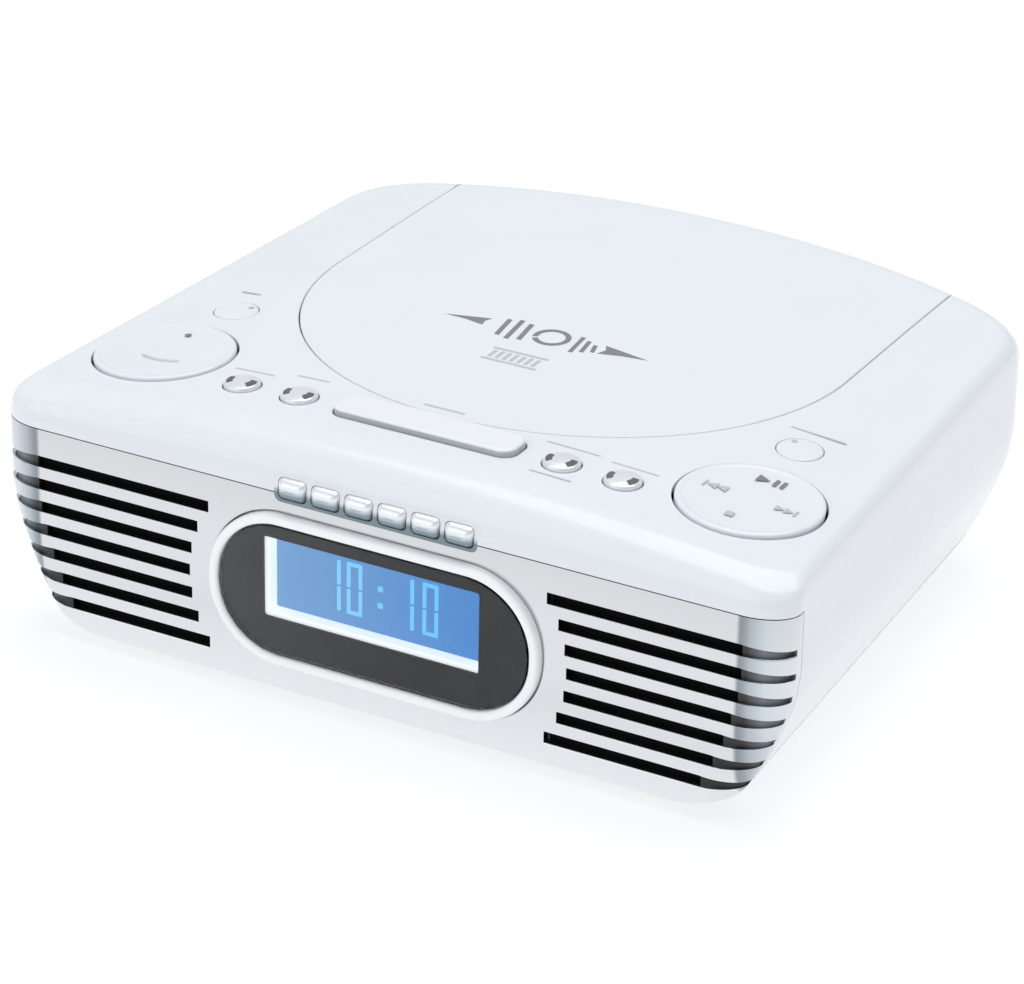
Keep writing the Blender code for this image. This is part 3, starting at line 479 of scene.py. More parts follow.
def from_closed_rings(name, outlines):
    """Ring-shaped solid from outlines taken in order round its section."""
    rings = np.array(outlines).transpose(1, 0, 2)
    index = np.arange(len(rings) * len(rings[0])).reshape(len(rings), -1)
    return closed_solid(name, rings, band(index, np.roll(index, -1, 0)))


def circle(radius, height, steps):
    angle = np.linspace(0, 2 * math.pi, steps, endpoint=False)
    return np.stack((radius * np.cos(angle), radius * np.sin(angle), np.full(steps, height)), 1)


def turned(name, profile, place=Matrix.Identity(4), steps=96):
    """Solid of revolution about the local Z from (radius, height) points."""
    rings = [circle(radius, height, steps) for radius, height in profile]
    made = from_rings(name, rings)
    made.data.transform(Matrix.Scale(MM, 4) @ place @ Matrix.Scale(1 / MM, 4))
    return made


def rod(name, radius, half, place, steps):
    """Plain round rod, its half length given."""
    profile = [(POINT, -half), (radius, -half), (radius, half), (POINT, half)]
    return turned(name, profile, place, steps)


def along_hinge(x):
    """Frame on the lid's axis, with its Z along the axis."""
    return Matrix.Translation((x, HINGE_Y, HINGE_Z)) @ Matrix.Rotation(math.pi / 2, 4, "Y")


def fillet(start, corner, end, steps=5):
    """Points of a curve that leaves start towards corner and arrives at end."""
    start, corner, end = (np.array(p, float) for p in (start, corner, end))
    shares = np.linspace(0, 1, steps + 1)
    return [tuple(start * (1 - t) ** 2 + corner * 2 * t * (1 - t) + end * t * t) for t in shares]


def rounded_rect(half_u, half_v, radius, steps=16, centre=(0.0, 0.0)):
    points = []
    for quarter, (su, sv) in enumerate(((1, 1), (-1, 1), (-1, -1), (1, -1))):
        angle = math.pi / 2 * (quarter + np.linspace(0, 1, steps + 1))
        points.append(np.stack((
            centre[0] + su * (half_u - radius) + radius * np.cos(angle),
            centre[1] + sv * (half_v - radius) + radius * np.sin(angle),
        ), 1))
    return np.concatenate(points)


def at_height(outline, z):
    return np.column_stack((outline, np.full(len(outline), z)))


def at_depth(outline, y):
    return np.column_stack((outline[:, 0], np.full(len(outline), y), outline[:, 1]))


def swept(name, path, ups, section):
    """Section of (across, up) points carried along a path whose up directions are given."""
    path, ups = np.asarray(path, float), np.asarray(ups, float)
    along = np.gradient(path, axis=0)
    along /= np.linalg.norm(along, axis=1)[:, None]
    aside = np.cross(along, ups)
    aside /= np.linalg.norm(aside, axis=1)[:, None]
    section = np.asarray(section, float)
    rings = [p + section[:, :1] * a + section[:, 1:] * u for p, a, u in zip(path, aside, ups)]
    return from_rings(name, rings)


def block(name, low, high):
    corners = rounded_rect((high[0] - low[0]) / 2, (high[1] - low[1]) / 2, 0.001, 1,
                           ((high[0] + low[0]) / 2, (high[1] + low[1]) / 2))
    return from_rings(name, [at_height(corners[::2], low[2]), at_height(corners[::2], high[2])])


def carve(piece, steps):
    """Run a list of (operation, tool) Booleans on a piece and remove the tools."""
    for operation, tool in steps:
        step = piece.modifiers.new(tool.name, "BOOLEAN")
        step.operation = operation
        step.solver = "MANIFOLD"
        step.object = tool
    graph = bpy.context.evaluated_depsgraph_get()
    graph.update()
    mesh = bpy.data.meshes.new_from_object(piece.evaluated_get(graph))
    piece.modifiers.clear()
    piece.data = mesh
    for _, tool in steps:
        if tool.name in bpy.data.objects:
            bpy.data.objects.remove(tool)
    return piece


# ---- the body's outer form
def monotone(keys, values, at):
    """Smooth curve through values that never overshoots them."""
    step = np.diff(keys)
    slope = np.diff(values) / step
    rate = np.zeros(len(keys))
    for i in range(1, len(keys) - 1):
        if slope[i - 1] * slope[i] > 0:
            first = 2 * step[i] + step[i - 1]
            second = step[i] + 2 * step[i - 1]
            rate[i] = (first + second) / (first / slope[i - 1] + second / slope[i])
    rate[0], rate[-1] = slope[0], slope[-1]
    cell = np.clip(np.searchsorted(keys, at, side="right") - 1, 0, len(step) - 1)
    h = step[cell]
    t = (at - keys[cell]) / h
    return (
        values[cell] * (1 + 2 * t) * (1 - t) ** 2 + rate[cell] * h * t * (1 - t) ** 2
        + values[cell + 1] * t * t * (3 - 2 * t) + rate[cell + 1] * h * t * t * (t - 1)
    )


def half_plan(fine):
    """Right half of the plan, from the middle of the front to the middle of the back."""
    points = [np.stack((np.linspace(0, FLAT_HALF, 6 * fine, endpoint=False), np.zeros(6 * fine)), 1)]
    turn = np.linspace(0, math.pi / 2, 8 * fine + 1)
    points.append(np.stack((
        FLAT_HALF + (HALF_WIDTH - FLAT_HALF) * np.sin(turn), CORNER_DEPTH * (1 - np.cos(turn))
    ), 1))
    depth = np.linspace(CORNER_DEPTH, SIDE_END, 10 * fine + 1)[1:]
    points.append(np.stack((HALF_WIDTH - SIDE_TAPER * (depth - CORNER_DEPTH), depth), 1))
    start = points[-1][-1]
    end = np.array((BACK_CORNER_X, BODY_DEPTH - BACK_BOW))
    slope = BACK_BOW * BOW_POWER / BACK_CORNER_X
    reach = start[0] - SIDE_TAPER * 18 - end[0]
    handle = np.array((end[0] + reach, end[1] - slope * reach))
    t = np.linspace(0, 1, 10 * fine + 1)[1:, None]
    points.append(start * (1 - t) ** 2 + handle * 2 * t * (1 - t) + end * t * t)
    x = BACK_CORNER_X * (1 - np.linspace(0, 1, 6 * fine + 1)[1:])
    points.append(np.stack((x, BODY_DEPTH - BACK_BOW * (x / BACK_CORNER_X) ** BOW_POWER), 1))
    return np.concatenate(points)


def crown_height(x):
    return TOP - CROWN * (x / CROWN_REACH) ** 2


def hull_rings(fine):
    """Rings of the body's outside from the base to near the middle of the crowned top."""
    half = half_plan(fine)
    plan = np.concatenate((half, half[1:-1][::-1] * (-1, 1)))
    guide = np.vstack((LEVELS, (TOP, 15.0, 25.0, 16.0, 1.0)))
    key = np.concatenate(((0,), np.cumsum(np.linalg.norm(np.diff(guide[:, :3], axis=0), axis=1))))
    at = np.concatenate([
        np.linspace(a, b, 3 * fine, endpoint=False) for a, b in zip(key[:-2], key[1:-1])
    ] + [key[-2:-1]])
    levels = np.stack([monotone(key, guide[:, i], at) for i in range(5)], 1)
    rings = []
    for height, side, front, back, crown in levels:
        rings.append(np.stack((
            plan[:, 0] * (1 - side / HALF_WIDTH),
            FRONT + front + plan[:, 1] * (BODY_DEPTH - front - back) / BODY_DEPTH,
            height - crown * CROWN * (plan[:, 0] / CROWN_REACH) ** 2,
        ), 1))
    rim = rings[-1]
    middle = FRONT + BODY_DEPTH / 2
    lift = crown_height(rim[:, 0]) - rim[:, 2]
    for share in np.linspace(1, 0.02, 12 * fine)[1:]:
        x = rim[:, 0] * share
        fade = np.clip((share - 0.7) / 0.3, 0, 1) ** 2
        y = middle + (rim[:, 1] - middle) * share
        rings.append(np.stack((x, y, crown_height(x) - lift * fade), 1))
    return rings


def hull(name, fine=1, inset=0.0):
    """Closed solid of the body's outside, or of its inside when given a wall thickness."""
    made = from_rings(name, hull_rings(fine))
    if inset:
        centre = Vector((0, FRONT + BODY_DEPTH / 2, (TOP + BASE) / 2)) * MM
        size = Vector((HALF_WIDTH, BODY_DEPTH / 2, (TOP - BASE) / 2)) * MM
        shrink = [(s - inset * MM) / s for s in size]
        made.data.transform(
            Matrix.Translation(centre) @ Matrix.Diagonal((*shrink, 1.0)) @ Matrix.Translation(-centre)
        )
    return made


class Skin:
    """The smooth outside of the body: places on it and its directions there."""

    def __init__(self):
        shape = hull("skin_reference", 3)
        mesh = shape.data
        mesh.calc_loop_triangles()
        self.points = np.array([v.co for v in mesh.vertices])
        self.normals = np.array([v.normal for v in mesh.vertices])
        self.triangles = np.array([t.vertices for t in mesh.loop_triangles])
        self.tree = BVHTree.FromPolygons(self.points.tolist(), self.triangles.tolist())
        bpy.data.objects.remove(shape)

    def normal_at(self, place, index):
        a, b, c = self.points[self.triangles[index]]
        p = np.array(place)
        base, first, second = p - a, b - a, c - a
        d00, d01, d11 = first @ first, first @ second, second @ second
        d20, d21 = base @ first, base @ second
        scale = d00 * d11 - d01 * d01
        v = (d11 * d20 - d01 * d21) / scale
        w = (d00 * d21 - d01 * d20) / scale
        na, nb, nc = self.normals[self.triangles[index]]
        n = na * (1 - v - w) + nb * v + nc * w
        return n / np.linalg.norm(n)

    def hit(self, start, way):
        """Place (mm) and outward direction where a ray from inside meets the skin."""
        place, _, index, _ = self.tree.ray_cast(Vector(start) * MM, Vector(way).normalized())
        return np.array(place) / MM, self.normal_at(place, index)

    def shade(self, piece, near=0.00002):
        """Give the faces that lie on the skin its own smooth directions."""
        mesh = piece.data
        found = [self.tree.find_nearest(v.co, near * 4) for v in mesh.vertices]
        directions = [None] * len(found)
        for i, (place, _, index, distance) in enumerate(found):
            if place is not None and distance < near:
                directions[i] = self.normal_at(place, index)
        custom = []
        for face in mesh.polygons:
            facing = [directions[v] for v in face.vertices]
            on_skin = all(d is not None for d in facing)
            if on_skin and Vector(sum(facing)).normalized().dot(face.normal) > 0.93:
                custom += [tuple(d) for d in facing]
            else:
                custom += [(0.0, 0.0, 0.0)] * len(facing)
        mesh.normals_split_custom_set(custom)


def smooth(piece, angle=30.0):
    piece.data.shade_smooth()
    piece.data.set_sharp_from_angle(angle=math.radians(angle))
    return piece


def finish(piece, material, body, slot, *nodes, angle=30.0):
    """Shade a piece, give it its material and hang it on a CAD body in place of CAD nodes."""
    smooth(piece, angle)
    piece.data.materials.clear()
    piece.data.materials.append(material)
    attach(piece, body)
    if nodes:
        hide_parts(*nodes)
    return piece


SKIN = Skin()


# ---- openings with rounded edges
def groove_section(half, edge=EDGE, deep=1.0, above=1.5):
    """Section of a gap: straight walls that flare out to the surface."""
    right = [(half, -deep)]
    right += fillet((half, -edge), (half, 0.0), (half + edge, 0.004))
    right += [(half + edge + 0.25, 0.03), (half + edge + 0.25, above)]
    left = [(-u, v) for u, v in reversed(right)]
    return right + left


def round_opening(name, radius, depth, place, edge=EDGE):
    """Cutter for a round hole whose rim is eased."""
    profile = [(POINT, -depth), (radius, -depth)]
    profile += fillet((radius, -edge), (radius, 0.0), (radius + edge, 0.004))
    profile += [(radius + edge + 0.3, 0.03), (radius + edge + 0.3, 4.0), (POINT, 4.0)]
    return turned(name, profile, place)


def on_top(x, y):
    """Frame on the crowned top: origin on the surface, Z along its direction there."""
    z = crown_height(x)
    tilt = math.atan(2 * CROWN * x / CROWN_REACH ** 2)
    return Matrix.Translation((x, y, z)) @ Matrix.Rotation(tilt, 4, "Y")


def lid_edge_path(grow):
    """Places and directions along the lid's edge: up the back, round the front, down the back."""
    radius = LID_RADIUS + grow
    inner_y = BACK - 22.0
    fan = [
        SKIN.hit((radius, inner_y, 52.0), (0, math.cos(a), math.sin(a)))
        for a in np.radians(np.linspace(13, 89, 56))
    ]
    straight = [
        SKIN.hit((radius, y, 40.0), (0, 0, 1)) for y in np.linspace(inner_y, LID_CENTRE_Y, 24)
    ]
    arc = [
        SKIN.hit((radius * math.cos(a), LID_CENTRE_Y - radius * math.sin(a), 40.0), (0, 0, 1))
        for a in np.linspace(0, math.pi, 121)[1:-1]
    ]
    right = fan + straight
    left = [(p * (-1, 1, 1), n * (-1, 1, 1)) for p, n in reversed(right)]
    path = right + arc + left
    return np.array([p for p, _ in path]), np.array([n for _, n in path])


def lid_outline(grow, steps=96):
    radius = LID_RADIUS + grow
    angle = math.pi * (1 + np.linspace(0, 1, steps + 1))
    arc = np.stack((radius * np.cos(angle), LID_CENTRE_Y + radius * np.sin(angle)), 1)
    return np.concatenate((((radius, BACK + 12.0), (-radius, BACK + 12.0)), arc))


def lid_groove(name):
    path, ups = lid_edge_path(GAP / 2)
    return swept(name, path, ups, groove_section(GAP / 2 - 0.02, 0.4))


def prism(name, outline, low, high):
    return from_rings(name, [at_height(outline, low), at_height(outline, high)])


def deep_prism(name, outline, front, back):
    """Prism of an (x, z) outline between two depths."""
    return from_rings(name, [at_depth(outline, front), at_depth(outline, back)])


def on_crown(outline, lift):
    """Outline laid on the crowned top and lifted off it."""
    return np.column_stack((outline, crown_height(outline[:, 0]) + lift))


def snooze_outline(grow):
    middle = (SNOOZE_Y[0] + SNOOZE_Y[1]) / 2
    half = (SNOOZE_Y[1] - SNOOZE_Y[0]) / 2
    return rounded_rect(SNOOZE_HALF + grow, half + grow, SNOOZE_CORNER + grow, 10, (0, middle))


def snooze_cutter():
    """Hole for the snooze bar with an eased rim that follows the crown."""
    rings = [at_height(snooze_outline(GAP), 60.0)]
    for share, drop in fillet((0.0, -0.4), (0.0, 0.0), (0.4, 0.004)) + [(0.7, 0.03)]:
        rings.append(on_crown(snooze_outline(GAP + share), drop))
    rings.append(at_height(snooze_outline(GAP + 0.7), 90.0))
    return from_rings("snooze_hole", rings)


def stadium(grow, steps=24):
    return rounded_rect(
        WINDOW_HALF[0] + grow, WINDOW_HALF[1] + grow, WINDOW_CORNER + grow, steps, (0, DISPLAY_Z)
    )


def key_slot(name, back):
    outline = rounded_rect(KEY_SLOT_HALF, 3.9, 2.0, 8, (0, KEY_Z))
    return deep_prism(name, outline, FRONT - 5, back)


# ---- housings
def make_top():
    top = hull("top_shell", 3)
    steps = [(CUT, hull("inside", 1, WALL))]
    trough = rod("trough", *TROUGH, along_hinge(0), 64)
    carve(trough, [
        (CUT, block("above", (-120, FRONT, LEDGE_TOP + 0.3), (120, BACK + 20, 120))),
        (KEEP, hull("limit", 2, 0.9)),
    ])
    hollow = rod("hollow", *HOLLOW, along_hinge(0), 96)
    steps += [
        (JOIN, trough),
        (CUT, block("front_zone", (-FAR, FRONT - 20, UNDER), (FAR, GRILLE_BACK + SEAT, CREASE))),
        (CUT, block("base_zone", (-FAR, -FAR, UNDER), (FAR, FAR, SEAM + SEAT / 2))),
        (CUT, prism("lid_opening", lid_outline(GAP), LEDGE_TOP + 0.3, 100)),
        (CUT, hollow),
        (CUT, lid_groove("lid_gap")),
        (CUT, key_slot("key_slot", FRONT + 4.5)),
        (CUT, snooze_cutter()),
    ]
    for side, _ in SIDES:
        place = on_top(side * PAD_X, PAD_Y)
        steps.append((CUT, round_opening("pad_hole", PAD_RADIUS + PAD_GAP, 12, place)))
        place = on_top(side * CORNER_BUTTON[0], CORNER_BUTTON[1])
        hole = round_opening("corner_hole", CORNER_BUTTON_RADIUS + 0.25, 12, place, 0.2)
        steps.append((CUT, hole))
    for x in BUTTON_XS:
        hole = round_opening("button_hole", BUTTON_RADIUS + GAP, 12, on_top(x, BUTTON_Y))
        steps.append((CUT, hole))
    carve(top, steps)
    for x in KNUCKLES:
        for side in (-1, 1):
            ear_x = x + side * EAR_OFFSET
            low = (ear_x - 1.0, HINGE_Y - LIP_RADIUS - 1.4, HINGE_Z - PEG_RADIUS)
            carve(top, [(JOIN, block("ear", low, (ear_x + 1.0, HINGE_Y, HINGE_Z + PEG_RADIUS)))])
            carve(top, [(JOIN, rod("eye", PEG_RADIUS, 0.98, along_hinge(ear_x), 32))])
    for x, radius in ((-62.0, 5.0), (-44.0, 4.0)):
        place = Matrix.Translation((x, BACK - 4, 26.0)) @ Matrix.Rotation(-math.pi / 2, 4, "X")
        carve(top, [(CUT, rod("socket_hole", radius + SEAT, 20, place, 48))])
    finish(top, WHITE_GLOSS, "body", "white_gloss", "top_housing")
    SKIN.shade(top)


def make_base():
    base = hull("base_shell", 3)
    steps = [
        (CUT, hull("inside", 1, WALL)),
        (KEEP, block("zone", (-FAR, GRILLE_BACK + SEAT, UNDER), (FAR, FAR, SEAM - SEAT / 2))),
    ]
    carve(base, steps)
    low, high = cad_mm("battery_door")
    bay = [low.x - 0.4, high.x + 0.4, low.y - 0.4, high.y + 0.4]
    cuts = [(CUT, block("bay", (bay[0], bay[2], UNDER), (bay[1], bay[3], 12)))]
    for i in range(6):
        for side in (-1, 1):
            x = side * (38.0 + 4.5 * i)
            cuts.append((CUT, block("vent", (x - 1.0, -36, UNDER), (x + 1.0, -14, 10))))
    for i in range(1, 5):
        low, high = cad_mm(f"housing_screw_{i}")
        place = Matrix.Translation(((low.x + high.x) / 2, (low.y + high.y) / 2, 0))
        bore = turned("screw_bore", [(POINT, UNDER), (3.5, UNDER), (3.5, 9), (POINT, 9)], place, 32)
        cuts.append((CUT, bore))
    carve(base, cuts)
    finish(base, WHITE_SATIN, "body", "white_satin", "bottom_housing")
    SKIN.shade(base)


def slot_inner(z):
    away = z - (SLOT_TOP - SLOT_PITCH * (SLOT_COUNT - 1) / 2)
    return SLOT_INNER - SLOT_FIELD + math.sqrt(SLOT_FIELD ** 2 - away ** 2)


def slot_section(deep, half=SLOT_HEIGHT / 2):
    """Section of a grille slot, (up the face, out of it)."""
    upper = [(half, -deep)]
    upper += fillet((half, -0.45), (half, 0.0), (half + 0.35, 0.004), 4)
    upper += [(half + 0.5, 0.02), (half + 0.5, 4.0)]
    return upper + [(-u, v) for u, v in reversed(upper)]


def flat_end(z):
    """Where the flat of the front ends and the corner begins, at one height."""
    side = np.interp(z, LEVELS[:, 0], LEVELS[:, 1])
    return FLAT_HALF * (1 - side / HALF_WIDTH)


def corner_path(z):
    """Places and directions round the right front corner at one height."""
    centre = (flat_end(z), FRONT + 12.0, z)
    hits = [
        SKIN.hit(centre, (math.cos(a), math.sin(a), 0))
        for a in np.radians(np.linspace(-89.8, -3.0, 90))
    ]
    hits = [(p, n) for p, n in hits if p[1] < GRILLE_BACK - 2.6]
    ups = [np.array((n[0], n[1], 0)) / math.hypot(n[0], n[1]) for _, n in hits]
    return np.array([p for p, _ in hits]), np.array(ups)


def tapered_groove(path, ups):
    """Cutter for a groove that goes round a corner and narrows towards its far end."""
    halves = np.linspace(SLOT_HEIGHT / 2, GROOVE_END_HEIGHT / 2, len(path))
    along = np.gradient(path, axis=0)
    along /= np.linalg.norm(along, axis=1)[:, None]
    aside = np.cross(along, ups)
    rings = []
    for place, across_way, up, half in zip(path, aside, ups, halves):
        section = np.array(slot_section(GROOVE_DEPTH, half))
        lowered = place - (0, 0, SLOT_HEIGHT / 2 - half)
        rings.append(lowered + section[:, :1] * across_way + section[:, 1:] * up)
    return from_rings("groove", rings)


def paint_groove_shade(fascia):
    """Painted shade on the floors and upper walls of the corner grooves."""
    fascia.data.materials.append(GROOVE_PAINTED_SHADE)
    for face in fascia.data.polygons:
        centre = face.center / MM
        at_corner = abs(centre.x) > flat_end(centre.z) - 1.0 and centre.z < SLOT_TOP + SLOT_HEIGHT
        if at_corner and face.normal.z < 0.5:
            _, _, _, depth = SKIN.tree.find_nearest(face.center)
            if 0.45 < depth / MM < GROOVE_DEPTH + 0.4:
                face.material_index = 1


def make_fascia():
    fascia = hull("fascia", 4)
    steps = [
        (CUT, hull("inside", 1, WALL)),
        (KEEP, block("zone", (-FAR, FRONT - 20, UNDER), (FAR, GRILLE_BACK, CREASE - SEAT))),
        (CUT, key_slot("key_slot", FRONT + 20)),
    ]
    for i in range(SLOT_COUNT):
        z = SLOT_TOP - SLOT_PITCH * i
        inner = slot_inner(z)
        corner, ups = corner_path(z)
        outer = corner[0][0] + 0.3
        for side in (-1, 1):
            line = np.stack((np.linspace(inner, outer, 8) * side, np.full(8, z)), 1)
            flat = at_depth(line, FRONT)
            out = np.tile((0.0, -1.0, 0.0), (len(flat), 1))
            steps.append((CUT, swept("slot", flat, out, slot_section(6.0))))
            mirror = np.array((side, 1.0, 1.0))
            steps.append((CUT, tapered_groove(corner * mirror, ups * mirror)))
    rim = [at_depth(stadium(BEZEL_WIDTH + SEAT), FRONT + 20)]
    for share, out in fillet((0.0, 0.5), (0.0, 0.0), (0.5, -0.004)) + [(0.8, -0.03)]:
        rim.append(at_depth(stadium(BEZEL_WIDTH + SEAT + share), FRONT + out))
    rim.append(at_depth(stadium(BEZEL_WIDTH + SEAT + 0.8), FRONT - 10))
    steps.append((CUT, from_rings("display_hole", rim)))
    carve(fascia, steps)
    finish(fascia, PLATED_PAINTED_REFLECTION, "body", "chrome", "front_grille")
    paint_groove_shade(fascia)
    SKIN.shade(fascia)


def make_bezel():
    """White ring round the window with rounded shoulders."""
    width = BEZEL_WIDTH
    front = FRONT - BEZEL_PROUD
    section = [(0.0, FRONT + 4.4), (0.0, front + 1.6)]
    section += fillet((0.0, front + 1.6), (0.0, front), (1.2, front), 6)[1:]
    section += fillet((1.7, front), (width, front), (width, front + 1.6), 6)
    section += [(width, FRONT + 4.4)]
    rings = [at_depth(stadium(grow), depth) for grow, depth in section]
    ring = from_closed_rings("bezel_ring", rings)
    finish(ring, BEZEL_WHITE, "body", "white_gloss", "display_bezel", angle=40)


def make_lid():
    lid = hull("lid_shell", 3)
    zone = prism("zone", lid_outline(0.0), LEDGE_TOP + 0.7, 100)
    carve(zone, [(JOIN, rod("lip", LIP_RADIUS, LID_RADIUS, along_hinge(0), 96))])
    carve(lid, [
        (CUT, hull("inside", 1, LID_WALL)),
        (KEEP, zone),
        (CUT, lid_groove("lid_gap")),
    ])
    steps = []
    for x in KNUCKLES:
        low = (x - ARM_HALF, HINGE_Y - 3.0, HINGE_Z)
        arm = block("arm", low, (x + ARM_HALF, HINGE_Y + 3.0, 74.3))
        steps += [(JOIN, arm), (JOIN, rod("eye", PEG_RADIUS, ARM_HALF, along_hinge(x), 48))]
    seat = from_closed_rings("clamp_seat", [
        circle(radius, height, 72) + (0, LID_CENTRE_Y, 0)
        for radius, height in ((14.8, 74.6), (16.4, 74.6), (16.4, 71.2), (14.8, 71.2))
    ])
    steps.append((JOIN, seat))
    carve(lid, steps)
    finish(lid, WHITE_GLOSS, "lid", "white_gloss", "cd_lid")
    SKIN.shade(lid)


# ---- keys
def make_pads():
    """Round pads with a rolled rim and a shallow dish inside it."""
    for side, word in SIDES:
        profile = [(POINT, -4.6), (6.0, -4.6), (6.0, -1.6), (17.2, -1.6), (17.2, -3.0)]
        profile += [(PAD_RADIUS, -3.0)]
        profile += fillet((PAD_RADIUS, -0.35), (PAD_RADIUS, 0.55), (18.5, PAD_PROUD), 6)
        profile += fillet((18.3, PAD_PROUD), (17.7, PAD_PROUD), (17.3, 0.42), 4)
        profile += [(16.9, 0.40), (14.0, 0.34), (10.0, 0.24), (5.0, 0.18), (POINT, 0.16)]
        pad = turned("pad_cap_" + word, profile, on_top(side * PAD_X, PAD_Y), 160)
        finish(pad, WHITE_GLOSS, "pad_" + word, "white_gloss", "pad_" + word, angle=40)


def stemmed(radius, foot, shoulder):
    """Lower part of a button's profile: a stem, and a shoulder that the housing holds in."""
    stem = [(POINT, foot), (2.2, foot), (2.2, -3.6)]
    return stem + [(shoulder, -3.6), (shoulder, -2.6), (radius, -2.6)]


def make_buttons():
    """Domed silver buttons, and a flat white one behind each pad."""
    for i, x in enumerate(BUTTON_XS, 1):
        profile = stemmed(BUTTON_RADIUS, -9.0, 6.2)
        profile += fillet((BUTTON_RADIUS, 0.2), (BUTTON_RADIUS, 0.9), (4.5, 1.05), 5)
        profile += fillet((4.3, 1.1), (2.6, 1.6), (POINT, 1.6), 8)
        cap = turned(f"function_cap_{i}", profile, on_top(x, BUTTON_Y))
        node = f"function_button_{i}"
        finish(cap, BUTTON_SILVER, node, "chrome", node, angle=40)
    for side, word in SIDES:
        profile = stemmed(CORNER_BUTTON_RADIUS, -7.4, 7.4)
        profile += fillet((CORNER_BUTTON_RADIUS, -0.4), (CORNER_BUTTON_RADIUS, 0.05), (5.8, 0.1), 5)
        profile += fillet((5.6, 0.12), (3.0, 0.3), (POINT, 0.3), 6)
        place = on_top(side * CORNER_BUTTON[0], CORNER_BUTTON[1])
        cap = turned("corner_cap_" + word, profile, place)
        node = "corner_button_" + word
        finish(cap, WHITE_GLOSS, node, "white_gloss", node, angle=40)


def make_snooze():
    """Snooze bar that follows the crown, with painted shade that makes its sides a tone darker than
    its top.
    """
    rings = [at_height(snooze_outline(0.0), TOP - 4.0)]
    top = SNOOZE_PROUD
    for inset, lift in fillet((0.0, top - 1.1), (0.0, top), (0.9, top), 7):
        rings.append(on_crown(snooze_outline(-inset), lift))
    rings += [on_crown(snooze_outline(-inset), top) for inset in (1.6, 2.6, 3.9)]
    cap = from_rings("snooze_cap", rings)
    finish(cap, WHITE_KEY, "snooze_bar", "white_gloss", "snooze_bar", angle=40)
    cap.data.materials.append(SNOOZE_SIDE_SHADE)
    # painted shade on the faces that turn away from the top
    for face in cap.data.polygons:
        if face.normal.z < 0.35:
            face.material_index = 1


def key_outline(x, inset=0.0, corner=KEY_CORNER):
    return rounded_rect(KEY_HALF[0] - inset, KEY_HALF[1] - inset, corner, 8, (x, KEY_Z))


def make_front_keys():
    """Silver keys, each a rounded lozenge that bulges forward."""
    for i, x in enumerate(KEY_XS, 1):
        rings = [at_depth(key_outline(x), KEY_BACK)]
        for inset, out in fillet((0.0, 3.0), (0.1, 0.0), (2.9, 0.0), 14):
            corner = max(KEY_CORNER - inset * 0.5, 0.05)
            rings.append(at_depth(key_outline(x, inset, corner), KEY_FRONT + out))
        key = from_rings(f"front_key_cap_{i}", rings)
        node = f"front_key_{i}"
        finish(key, KEY_SILVER, node, "chrome", node, angle=50)


def make_key_tray():
    """Plate flush in the opening of the front keys, with a hole for each."""
    outline = rounded_rect(KEY_SLOT_HALF + 0.04, 3.94, 2.04, 8, (0, KEY_Z))
    tray = hull("key_tray", 3)
    holes = [(KEEP, deep_prism("key_plate", outline, FRONT - 5, FRONT + 2.2))]
    for x in KEY_XS:
        hole = deep_prism("key_hole", key_outline(x, -0.07, 1.66), FRONT - 5, FRONT + 5)
        holes.append((CUT, hole))
    carve(tray, holes)
    finish(tray, KEY_TRAY, "body", "chrome")
    SKIN.shade(tray)


# ---- printed marks, and painted reflections on the silver buttons
def decal(name, outlines, material, body, slot, lift=0.03, grid=1.5):
    """Thin shapes on the crowned top from (x, y) loops, for ink and for painted reflections; lift is
    a height or a function.
    """
    bm = bmesh.new()
    for outline in outlines:
        loop = []
        for a, b in zip(outline, outline[1:] + outline[:1]):
            steps = max(1, int(math.dist(a, b) / grid))
            loop += [
                (a[0] + (b[0] - a[0]) * t / steps, a[1] + (b[1] - a[1]) * t / steps)
                for t in range(steps)
            ]
        verts = [bm.verts.new((x, y, 0)) for x, y in loop]
        bm.faces.new(verts)
    bmesh.ops.triangulate(bm, faces=bm.faces)
    for face in bm.faces:
        if face.normal.z < 0:
            face.normal_flip()
    for vert in bm.verts:
        rise = lift(vert.co.x, vert.co.y) if callable(lift) else lift
        vert.co.z = crown_height(vert.co.x) + rise
        vert.co *= MM
    return finish(from_bmesh(name, bm), material, body, slot)


def arc(centre, radius, start, end, width, steps=12):
    """Outline of a curved stroke; angles in degrees."""
    angles = np.radians(np.linspace(start, end, steps + 1))
    outer, inner = (
        [(centre[0] + reach * math.cos(a), centre[1] + reach * math.sin(a)) for a in angles]
        for reach in (radius + width / 2, radius - width / 2)
    )
    return outer + inner[::-1]


def bar(x, y, width, height, slant=0.0):
    """Rectangle whose top leans to one side."""
    w, h, lean = width / 2, height / 2, slant / 2
    lower = [(x - w - lean, y - h), (x + w - lean, y - h)]
    return lower + [(x + w + lean, y + h), (x - w + lean, y + h)]


def triangle(x, y, size, way):
    """Arrowhead that points right or left."""
    reach = way * size / 2
    return [(x - reach, y - size / 2), (x - reach, y + size / 2), (x + reach, y)]


